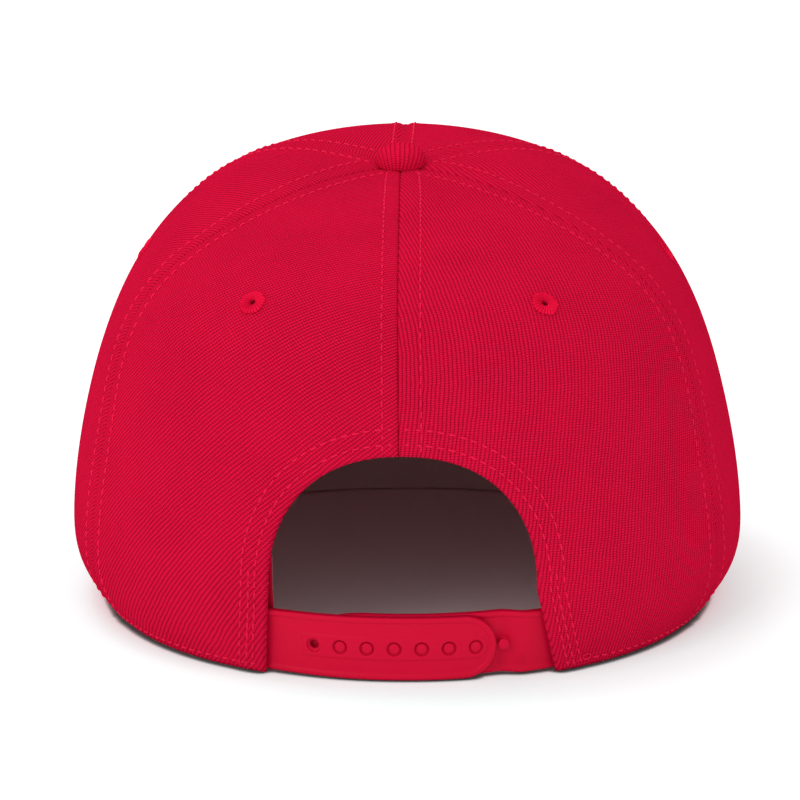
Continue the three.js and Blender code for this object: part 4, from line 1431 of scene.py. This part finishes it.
@dataclass
class StrapLine:
    """The line that the strap and the sweatband follow, along the skin at the strap's middle."""

    crown: Crown
    height: float = 17.1
    lift: float = 0.15
    bow: float = 1.2
    field_thickness: float = 1.4
    border_rise: float = 0.45
    tab: float = 13.0
    seat: float = 0.5
    pitch: float = 7.15
    hole_inset: float = 12.7
    end_margin: float = 5.5
    bare_peg_reach: float = 0.5
    holes: int = 7
    step_inset: float = 1.0
    tongue_past: float = 3.2

    def __post_init__(self) -> None:
        """Measures the line and places the snaps."""
        crown = self.crown
        self.middle = self.lift + self.height / 2
        turn = np.linspace(0, 60, 241)
        points = crown.skin(turn, crown.share_at_height(turn, self.middle))
        self.turns, self.lengths, self.sides = turn, along(points), points[:, 0]
        legs = 1 - self.middle / crown.opening_spring
        half = crown.opening_half_width
        self.left_foot = self.to_side(crown.opening_side + half + crown.spread_left * legs)
        self.right_foot = -self.to_side(-crown.opening_side + half + crown.spread_right * legs)
        self.right_edge = -self.to_side(half - crown.opening_side)
        first = self.left_foot - self.hole_inset
        self.snaps = first - self.pitch * np.arange(self.holes)
        bare = first - self.pitch * self.holes - self.bare_peg_reach
        self.pegs = np.append(self.snaps[1:], bare)
        self.outer_end = float(self.snaps[-1]) - self.end_margin
        self.under_end = first + self.tongue_past
        self.thickness = self.field_thickness + self.border_rise
        self.outer_depth = crown.wall + self.seat
        self.under_depth = self.outer_depth + self.thickness + crown.clearance

    def to_side(self, x: float) -> float:
        """Length along the line where it is this far to the side."""
        return float(np.interp(x, self.sides, self.lengths))

    def turn_at(self, length: np.ndarray) -> np.ndarray:
        """Turn at a length along the line."""
        return np.sign(length) * np.interp(np.abs(length), self.lengths, self.turns)

    def step(self, length: np.ndarray) -> np.ndarray:
        """How far the under half has stepped out to the cloth: a smooth step past the lap."""
        first = self.step_inset - self.outer_end
        last = -self.right_edge - 2 * self.step_inset
        return (self.outer_depth - self.under_depth) * smooth_step(-length, first, last)

    def place(self, length: np.ndarray, height: np.ndarray, depth: np.ndarray) -> np.ndarray:
        """Point of the strap: across it a chord of the skin, in along the skin's normal.

        Args:
            length: Length along the line, in mm.
            height: Height from the strap's middle.
            depth: Depth inside the skin.

        Returns:
            Points in mm.
        """
        keys = np.round(np.asarray(length, float), 3)
        unique, back = np.unique(keys, return_inverse=True)
        turn = self.turn_at(unique)
        low = self.crown.skin(turn, self.crown.share_at_height(turn, self.lift + 0 * turn))
        high = self.crown.skin(turn, self.crown.share_at_height(turn, self.lift + self.height + 0 * turn))
        normal = self.crown.normal(turn, self.crown.share_at_height(turn, self.middle + 0 * turn))
        bow = self.bow * np.maximum(0, 1 - (unique / self.right_edge) ** 2) ** 2
        back = back.reshape(keys.shape)
        share = (height / self.height + 0.5)[..., None]
        point = low[back] + (high - low)[back] * share
        return point + normal[back] * (bow[back] - depth)[..., None]


Cell = tuple[np.ndarray, np.ndarray, np.ndarray]


@dataclass
class StrapHalf:
    """One half of the snap strap: a plate with raised borders, a pad and a row of holes or pegs."""

    line: StrapLine
    name: str
    node: str
    outer: bool
    border: float = 1.5
    edge_round: float = 0.5
    back_round: float = 0.25
    pad_half: float = 3.2
    pad_rise: float = 0.25
    under_pad_rise: float = 0.01
    ease: float = 0.35
    recess: float = 1.95
    recess_depth: float = 0.7
    bore: float = 1.22
    stem: float = 1.05
    head: float = 1.5
    head_thickness: float = 0.55
    head_round: float = 0.12
    head_below: float = 0.1
    tongue: float = 17.0
    across_steps: int = 12
    side_steps: int = 10
    end_steps: int = 28
    field_steps: int = 13

    def __post_init__(self) -> None:
        """Places the snaps, the square end, the tip, the pad and the back."""
        line = self.line
        self.snaps = line.snaps if self.outer else line.pegs[::-1]
        self.way = -1.0 if self.outer else 1.0
        self.start = line.left_foot + line.tab if self.outer else line.right_foot - line.tab
        self.tip = line.outer_end + line.height / 2 if self.outer else line.under_end - self.tongue
        self.pad = line.field_thickness + (self.pad_rise if self.outer else self.under_pad_rise)
        self.back_depth = (line.outer_depth if self.outer else line.under_depth) + line.thickness

    def upright(self, length: float, low: float, high: float) -> np.ndarray:
        """Even points up the strap at one length, as rows of length and height."""
        steps = self.side_steps + 1
        return np.stack([np.full(steps, length), np.linspace(low, high, steps)], -1)

    def level_line(self, start: float, end: float, steps: int, height: float) -> np.ndarray:
        """Even points along the strap at one height, as rows of length and height."""
        return np.stack([np.linspace(start, end, steps + 1), np.full(steps + 1, height)], -1)

    def round_tip(self, centre: float, reach: float, half: float) -> np.ndarray:
        """Half an ellipse from the top round to the bottom."""
        angle = np.linspace(math.pi / 2, -math.pi / 2, self.end_steps + 1)
        return np.stack([centre + self.way * reach * np.cos(angle), half * np.sin(angle)], -1)

    @staticmethod
    def closed(up: np.ndarray, top: np.ndarray, end: np.ndarray) -> np.ndarray:
        """Closed loop: up the near side, along the top, down the end, and back along the bottom."""
        bottom = top[::-1] * np.array([1.0, -1.0])
        return np.concatenate([up[:-1], top[:-1], end[:-1], bottom])

    def outline(self, inset: float) -> np.ndarray:
        """The half's outline, with one square end and one round one.

        Args:
            inset: Distance inside the strap's own outline.

        Returns:
            A closed loop of points, the same count for any inset.
        """
        half = self.line.height / 2 - inset
        reach = (self.line.height / 2 if self.outer else self.tongue) - inset
        start = self.start + self.way * inset
        top = self.level_line(start, self.tip, len(self.snaps) * self.across_steps, half)
        return self.closed(self.upright(start, -half, half), top, self.round_tip(self.tip, reach, half))

    def cells(self) -> list[Cell]:
        """Near side, top and far side of each snap's cell, as lines of length and height.

        A cell reaches halfway to its neighbours. The last one ends in a half circle, and the first
        in a straight edge.
        """
        half = self.pad_half - self.ease
        between = (self.snaps[1:] + self.snaps[:-1]) / 2
        near = np.concatenate([self.snaps[:1] - self.way * half, between])
        far = np.concatenate([between, self.snaps[-1:]])
        cells = []
        for start, end in zip(near, far):
            top = self.level_line(start, end, self.across_steps, half)
            cells.append((self.upright(start, -half, half), top, self.upright(end, half, -half)))
        near_side, top, _ = cells[-1]
        cells[-1] = (near_side, top, self.round_tip(far[-1], half, half))
        return cells

    def pad_loop(self, cells: list[Cell], half: float) -> np.ndarray:
        """Outline of the pad at a half width, with its points over the cells' corners."""
        top = np.concatenate([top[:-1] for _, top, _ in cells] + [cells[-1][1][-1:]])
        top[:, 1] = half
        top[0, 0] -= self.way * (half - (self.pad_half - self.ease))
        end = self.round_tip(self.snaps[-1], half, half)
        return self.closed(self.upright(top[0, 0], -half, half), top, end)

    def border_rings(self) -> list[tuple[float, float]]:
        """Inset and level from the plate's lower edge over the rounded border down to the field."""
        thick, plain, round_it = self.line.thickness, self.line.field_thickness, self.edge_round
        rings = [(0.0, self.back_round)]
        rings += [(round_it * (1 - math.cos(a)), thick - round_it + round_it * math.sin(a))
                  for a in np.linspace(0, math.pi / 2, 6)]
        rings += [(self.border - 0.35, thick - 0.02), (self.border - 0.1, thick - 0.14),
                  (self.border + 0.05, plain + 0.12), (self.border + 0.3, plain)]
        return rings

    def hole_rings(self) -> list[tuple[float, float]]:
        """Radius and level from a hole's rim through its recess and down its bore."""
        pad, floor = self.pad, self.pad - self.recess_depth
        return [
            (self.recess + 0.28, pad), (self.recess + 0.1, pad - 0.03), (self.recess, pad - 0.14),
            (self.recess - 0.04, floor + 0.1), (self.recess - 0.14, floor), (self.bore + 0.12, floor),
            (self.bore, floor - 0.12), (self.bore, 0.15), (self.bore + 0.15, 0.0),
        ]

    def peg_rings(self) -> list[tuple[float, float]]:
        """Radius and level up a peg: the foot, the stem, and the head, which rounds off to a point."""
        line, soft = self.line, self.head_round
        lap = line.thickness + line.crown.clearance
        under = lap + line.field_thickness + self.pad_rise - self.head_below - self.head_thickness
        rings = [
            (self.stem + 0.6, self.pad), (self.stem + 0.15, self.pad + 0.02), (self.stem, self.pad + 0.2),
            (self.stem, under - 0.1), (self.stem + 0.1, under), (self.head - soft, under + 0.02),
        ]
        rise = self.head_thickness - soft
        rings += [(self.head * math.cos(a) ** 0.6, under + soft + rise * math.sin(a))
                  for a in np.linspace(0, math.pi / 2, 6)]
        return rings

    def build(self, material: bpy.types.Material) -> bpy.types.Object:
        """Builds the half in its flat outline and bends it along the line.

        Rings of the outline carry the rounded border down to the field and up to the pad. Inside
        the pad each snap has a cell, whose rings pass from the cell's edge to the snap's circle.
        """
        plain = self.line.field_thickness
        cells = self.cells()
        rings = self.border_rings()
        foot = self.pad_loop(cells, self.pad_half)
        edge = self.pad_loop(cells, self.pad_half - self.ease)
        plan = [self.outline(inset) for inset, _ in rings]
        level = [z for _, z in rings]
        border = plan[-1]
        for share in np.linspace(0, 1, self.field_steps + 1)[1:]:
            plan.append(border * (1 - share) + foot * share)
            level.append(plain)
        for share in (0.3, 0.7, 1.0):
            plan.append(foot * (1 - share) + edge * share)
            level.append(plain + (self.pad - plain) * share)
        maker = MeshMaker()
        self.add(maker, np.stack(plan), np.array(level)[:, None])
        back = np.stack([self.outline(0.0), self.outline(self.back_round)] + plan[len(rings) :])
        back_level = np.zeros((len(back), 1))
        back_level[0] = self.back_round
        self.add(maker, back, back_level, flip=True)
        for snap, cell in zip(self.snaps, cells):
            self.add_cell(maker, snap, cell)
        piece = maker.make(self.name, self.line.crown.origin, [material])
        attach(piece, BODY)
        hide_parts(self.node)
        return piece

    def add(self, maker: MeshMaker, plan: np.ndarray, level: np.ndarray, flip: bool = False) -> None:
        """Adds a grid of the plan, bent along the line, at levels over the back."""
        depth = self.back_depth - level
        if not self.outer:
            depth = depth + self.line.step(plan[..., 0])
        flip = flip if self.outer else not flip
        maker.grid(self.line.place(plan[..., 0], plan[..., 1], depth), plan, 0, flip)

    def add_cell(self, maker: MeshMaker, snap: float, cell: Cell) -> None:
        """Adds the rings between a cell's edge and its snap, on the front and on the back."""
        edge = self.closed(*cell)
        middle = np.array([snap, 0.0])
        way = unit(edge - middle)
        rings = self.hole_rings() if self.outer else self.peg_rings()
        circle = middle + way * rings[0][0]
        plan = [edge * (1 - share) + circle * share for share in (0.0, 0.45, 0.8)]
        plan += [middle + way * radius for radius, _ in rings]
        level = [self.pad] * 3 + [z for _, z in rings]
        self.add(maker, np.stack(plan), np.array(level)[:, None])
        last = rings[-1][0] if self.outer else 0.0
        back = np.stack([edge, middle + way * last])
        self.add(maker, back, np.zeros((2, 1)), flip=True)


@dataclass
class Sweatband:
    """Strip round the inside of the rim, red towards the cloth and in the lining's cloth towards the head.
    """

    line: StrapLine
    thickness: float = 1.2
    height: float = 31.5
    inset: float = 0.6
    peek: float = 0.7
    room: float = 0.8
    past: float = 2.0
    easing: float = 12.0
    front_low: float = 0.3
    front_stretch: float = 18.0
    front_before: float = 6.0
    front_after: float = 4.0
    mean_radius: float = 90.0
    grid_length: float = 560.0

    def build(self, materials: list[bpy.types.Material]) -> bpy.types.Object:
        """Builds the strip between two skins inside the crown, with rolled edges.

        Near the feet it lies deeper, behind the strap's halves. At the front its lower part is
        drawn down over the visor's inner edge, to just above the ground.
        """
        line, crown = self.line, self.line.crown
        start = float(line.turn_at(np.array(line.left_foot - self.peek)))
        end = 360 + float(line.turn_at(np.array(line.right_foot + self.peek)))
        clear = float(line.turn_at(np.array(line.left_foot + line.tab + self.past)))
        easy = float(line.turn_at(np.array(line.left_foot + line.tab + self.past + self.easing)))
        low = crown.skin(clear, crown.share_at_height(clear, line.lift))
        high = crown.skin(clear, crown.share_at_height(clear, line.lift + line.height))
        middle = crown.skin(clear, crown.share_at_height(clear, line.middle))
        bulge = float(np.linalg.norm(middle - (low + high) / 2))
        near = crown.wall + self.room
        deep = line.outer_depth + line.thickness + bulge + self.room
        turn = start + (end - start) * graded(self.grid_length, 1.6, 0.6, 0.6)[:, None]
        length = np.radians(turn - turn[0]) * self.mean_radius
        up = graded(self.height, 0.7, 0.6, 0.6)[None, :] * (self.height - self.inset)
        seam = crown.front_seam
        front = smooth_step(crown.side_of(turn), seam - self.front_before, seam + self.front_after)
        drop = np.maximum(0, crown.rim_lift(turn) + self.inset - self.front_low)
        down = drop * front * np.maximum(0, 1 - up / self.front_stretch)
        at = crown.share_at_height(*np.broadcast_arrays(turn, crown.rim_lift(turn) + self.inset + up))
        edge = np.minimum.reduce(np.broadcast_arrays(up, up[0, -1] - up, length, length[-1, 0] - length))
        half = self.thickness / 2
        inward = half - np.minimum(edge, half)
        body = np.sqrt(np.maximum(0, half**2 - inward**2))
        depth = deep + (near - deep) * smooth_step(crown.side_of(turn), clear, easy) + half
        turn = np.broadcast_to(turn, at.shape)
        uv = np.stack(np.broadcast_arrays(length, up), -1)
        maker = MeshMaker()
        lower = down[..., None] * np.array([0.0, 0.0, -1.0])
        maker.grid(crown.place(turn, at, body - depth) + lower, uv, 0)
        maker.grid(crown.place(turn, at, -body - depth) + lower, uv, 1, flip=True)
        piece = maker.make("band_strip", crown.origin, materials)
        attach(piece, BODY)
        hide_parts("sweatband")
        return piece


# Picture


def grey(value: float) -> Colour:
    """Grey of this value."""
    return (value, value, value, 1.0)


Stops = tuple[tuple[float, Colour], ...]


@dataclass(frozen=True)
class Floor:
    """Pale floor, whose tone follows how much of the sky the cap hides.

    Each ramp gives tones by the share of the sky that is open within a reach. The wide one is a
    painted tint of the floor's colour: reddish where the cap hides most of the sky, as painted
    bounce light from the red cloth, cyan nearer the cap, which takes out the pink of the rendered
    bounce, and plain white in the open. The contact one is a painted contact shadow, a thin dark
    line under an edge, which is left out deep inside the crown. The glow is painted light, an
    emission that lifts the shadow round the cap.
    """

    wide_reach: float = 0.4
    contact_reach: float = 0.0022
    half_width: float = 14.0
    # Painted tint: reddish painted bounce light inside, cyan against the pink bounce near the cap.
    wide: Stops = (
        (0.0, (0.93, 0.68, 0.71, 1)), (0.2, (0.93, 0.84, 0.86, 1)), (0.42, (0.72, 0.93, 0.93, 1)),
        (1.0, grey(0.93)),
    )
    # Painted contact shadow under the cap's edges.
    contact_shadow: Stops = ((0.4, grey(0.1)), (0.6, grey(0.3)), (0.78, grey(0.8)), (0.93, grey(1.0)))
    # Painted light: the floor's emission, which lifts the shadow round the cap.
    glow: Stops = (
        (0.0, (0.001, 0.0, 0.0, 1)), (0.2, (0.12, 0.10, 0.103, 1)), (0.32, grey(0.3)), (0.5, grey(0.2)),
        (1.0, grey(0.14)),
    )
    # Where the painted contact shadow is left out, deep inside the crown.
    inside: Stops = ((0.03, grey(1.0)), (0.09, grey(0.0)))

    @staticmethod
    def ramp(graph: Graph, reach: float, stops: Stops) -> bpy.types.NodeSocket:
        """Tone by the share of the sky that is open.

        Args:
            graph: The floor's material.
            reach: Distance in metres within which a piece hides the sky.
            stops: Open shares, and the tone at each.

        Returns:
            The tone.
        """
        sky = graph.add("ShaderNodeAmbientOcclusion", samples=12)
        sky.inputs["Distance"].default_value = reach
        ramp = graph.add("ShaderNodeValToRGB")
        while len(ramp.color_ramp.elements) < len(stops):
            ramp.color_ramp.elements.new(0.5)
        for stop, (place, colour) in zip(ramp.color_ramp.elements, stops):
            stop.position = place
            stop.color = colour
        graph.feed(ramp.inputs["Fac"], sky.outputs["AO"])
        return ramp.outputs["Color"]

    def make(self) -> bpy.types.Material:
        """Builds the material: its colour is the painted tint times the painted contact shadow, and its
        emission, painted light, is the glow times the same shadow.
        """
        graph = Graph("floor")
        # Painted tint, painted contact shadow and painted light, each from the share of open sky.
        wide = self.ramp(graph, self.wide_reach, self.wide)
        contact_shadow = self.ramp(graph, self.contact_reach, self.contact_shadow)
        glow = self.ramp(graph, self.wide_reach, self.glow)
        inside = self.ramp(graph, self.wide_reach, self.inside)
        contact_shadow = graph.mix(inside, contact_shadow, grey(1.0))
        graph.feed(graph.shader.inputs["Base Color"], graph.mix(1.0, wide, contact_shadow, "MULTIPLY"))
        graph.feed(graph.shader.inputs["Emission Color"], graph.mix(1.0, glow, contact_shadow, "MULTIPLY"))
        graph.shader.inputs["Emission Strength"].default_value = 1.0
        graph.shader.inputs["Roughness"].default_value = 0.7
        graph.shader.inputs["Specular IOR Level"].default_value = 0.0
        return graph.material

    def build(self) -> bpy.types.Object:
        reach = self.half_width / METRES
        flat = np.linspace(-reach, reach, 9)
        grid = np.stack(np.meshgrid(flat, flat, [0.0], indexing="ij"), -1)[:, :, 0]
        maker = MeshMaker()
        maker.grid(grid, grid[..., :2])
        floor = maker.make("floor", np.zeros(3), [self.make()])
        return floor


@dataclass
class Picture:
    """Camera, lights and surroundings."""

    crown: Crown
    elevation: float = 13.3
    azimuth: float = 1.1
    distance: float = 800.0
    aim_height: float = 51.6
    light_height: float = 60.0
    focal_pixels: float = 2780.0
    centre_pixel: float = 408.5
    image_pixels: float = 800.0
    sensor: float = 36.0

    def camera(self) -> None:
        """Puts the camera at the photograph's place, with its lens and its small shift."""
        e, a = math.radians(self.elevation), math.radians(self.azimuth)
        back = np.array([-math.sin(a) * math.cos(e), math.cos(a) * math.cos(e), math.sin(e)])
        aim = self.crown.origin + np.array([0, 0, self.aim_height])
        data = bpy.data.cameras.new("camera")
        data.sensor_width = self.sensor
        data.lens = self.focal_pixels / self.image_pixels * self.sensor
        data.shift_x = (self.image_pixels / 2 - self.centre_pixel) / self.image_pixels
        data.clip_start = 0.01
        data.clip_end = 100.0
        camera = bpy.data.objects.new("camera", data)
        camera.location = Vector((aim + back * self.distance) * METRES)
        camera.rotation_mode = "QUATERNION"
        camera.rotation_quaternion = Vector(-back).to_track_quat("-Z", "Y")
        bpy.context.scene.collection.objects.link(camera)
        bpy.context.scene.camera = camera

    def light(self, name: str, place: tuple[float, float, float], size: float, power: float) -> None:
        """Adds a square soft light that faces the crown.

        Args:
            name: Name of the light.
            place: Where it stands, in metres.
            size: Its side, in metres.
            power: Its power, in watts.
        """
        data = bpy.data.lights.new(name, "AREA")
        data.shape = "SQUARE"
        data.size = size
        data.energy = power
        lamp = bpy.data.objects.new(name, data)
        lamp.location = Vector(place)
        target = Vector((self.crown.origin + np.array([0, 0, self.light_height])) * METRES)
        lamp.rotation_mode = "QUATERNION"
        lamp.rotation_quaternion = (target - lamp.location).to_track_quat("-Z", "Y")
        bpy.context.scene.collection.objects.link(lamp)

    def build(self) -> None:
        """Builds the camera, the soft lights, the white surroundings and the pale floor."""
        self.camera()
        self.light("key", (0.6, -0.4, 1.9), 0.8, 7.8)
        self.light("fill", (1.3, 1.7, 1.2), 1.2, 11.0)
        world = bpy.data.worlds.new("studio")
        world.use_nodes = True
        world.node_tree.nodes["Background"].inputs["Color"].default_value = grey(1.0)
        world.node_tree.nodes["Background"].inputs["Strength"].default_value = 1.0
        bpy.context.scene.world = world
        bpy.context.scene.view_settings.view_transform = "Standard"
        Floor().build()


def main() -> None:
    """Builds the cap and its picture, and logs where the crown stands and how many faces each piece has."""
    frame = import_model()
    crown = Crown()
    LOG.info("crown stands at %s", np.round(crown.origin, 2))
    Picture(crown).build()
    finishes = Finishes()
    for name, node in frame["nodes"].items():
        node.data.materials.clear()
        material = finishes.plastic if name.startswith("strap") else finishes.twill
        node.data.materials.append(finishes.band if name == "sweatband" else material)
    skins = [finishes.twill, finishes.lining]
    left, right = crown.back_rows
    front = crown.front_row
    panels = [
        BackPanel(crown, "panel_back_left", 0, 26.5, row_first=left, seam_first=0.6, bend=True),
        Panel(crown, "panel_side_left", 1, 93.0, grain=-9.0),
        Panel(crown, "panel_front_left", 2, 151.0, row_last=front, notch_last=1.2),
        Panel(crown, "panel_front_right", 3, 209.0, row_first=front, notch_first=1.2),
        Panel(crown, "panel_side_right", 4, 267.0),
        BackPanel(crown, "panel_back_right", 5, 333.5, row_last=right, seam_last=0.6, grain=35.0),
    ]
    pieces = [panel.build(skins) for panel in panels]
    for seed, panel in enumerate(panels):
        eyelet = Eyelet(crown, panel.name.replace("panel_", ""), panel.eyelet)
        pieces.append(eyelet.build(finishes.eyelet, seed))
    pieces.append(Button(crown).build(finishes.button))
    pieces += CrownThreads(crown).build(finishes.thread)
    pieces += Visor(crown).build(finishes.twill, finishes.thread)
    line = StrapLine(crown)
    pieces.append(StrapHalf(line, "strap_outer", "strap_left", outer=True).build(finishes.plastic))
    pieces.append(StrapHalf(line, "strap_under", "strap_right", outer=False).build(finishes.plastic))
    pieces.append(Sweatband(line).build([finishes.band, finishes.lining]))
    for piece in pieces:
        LOG.info("%s: %d faces", piece.name, len(piece.data.polygons))


if __name__ == "__main__":
    logging.basicConfig(level=logging.INFO, format="%(name)s: %(message)s")
    main()
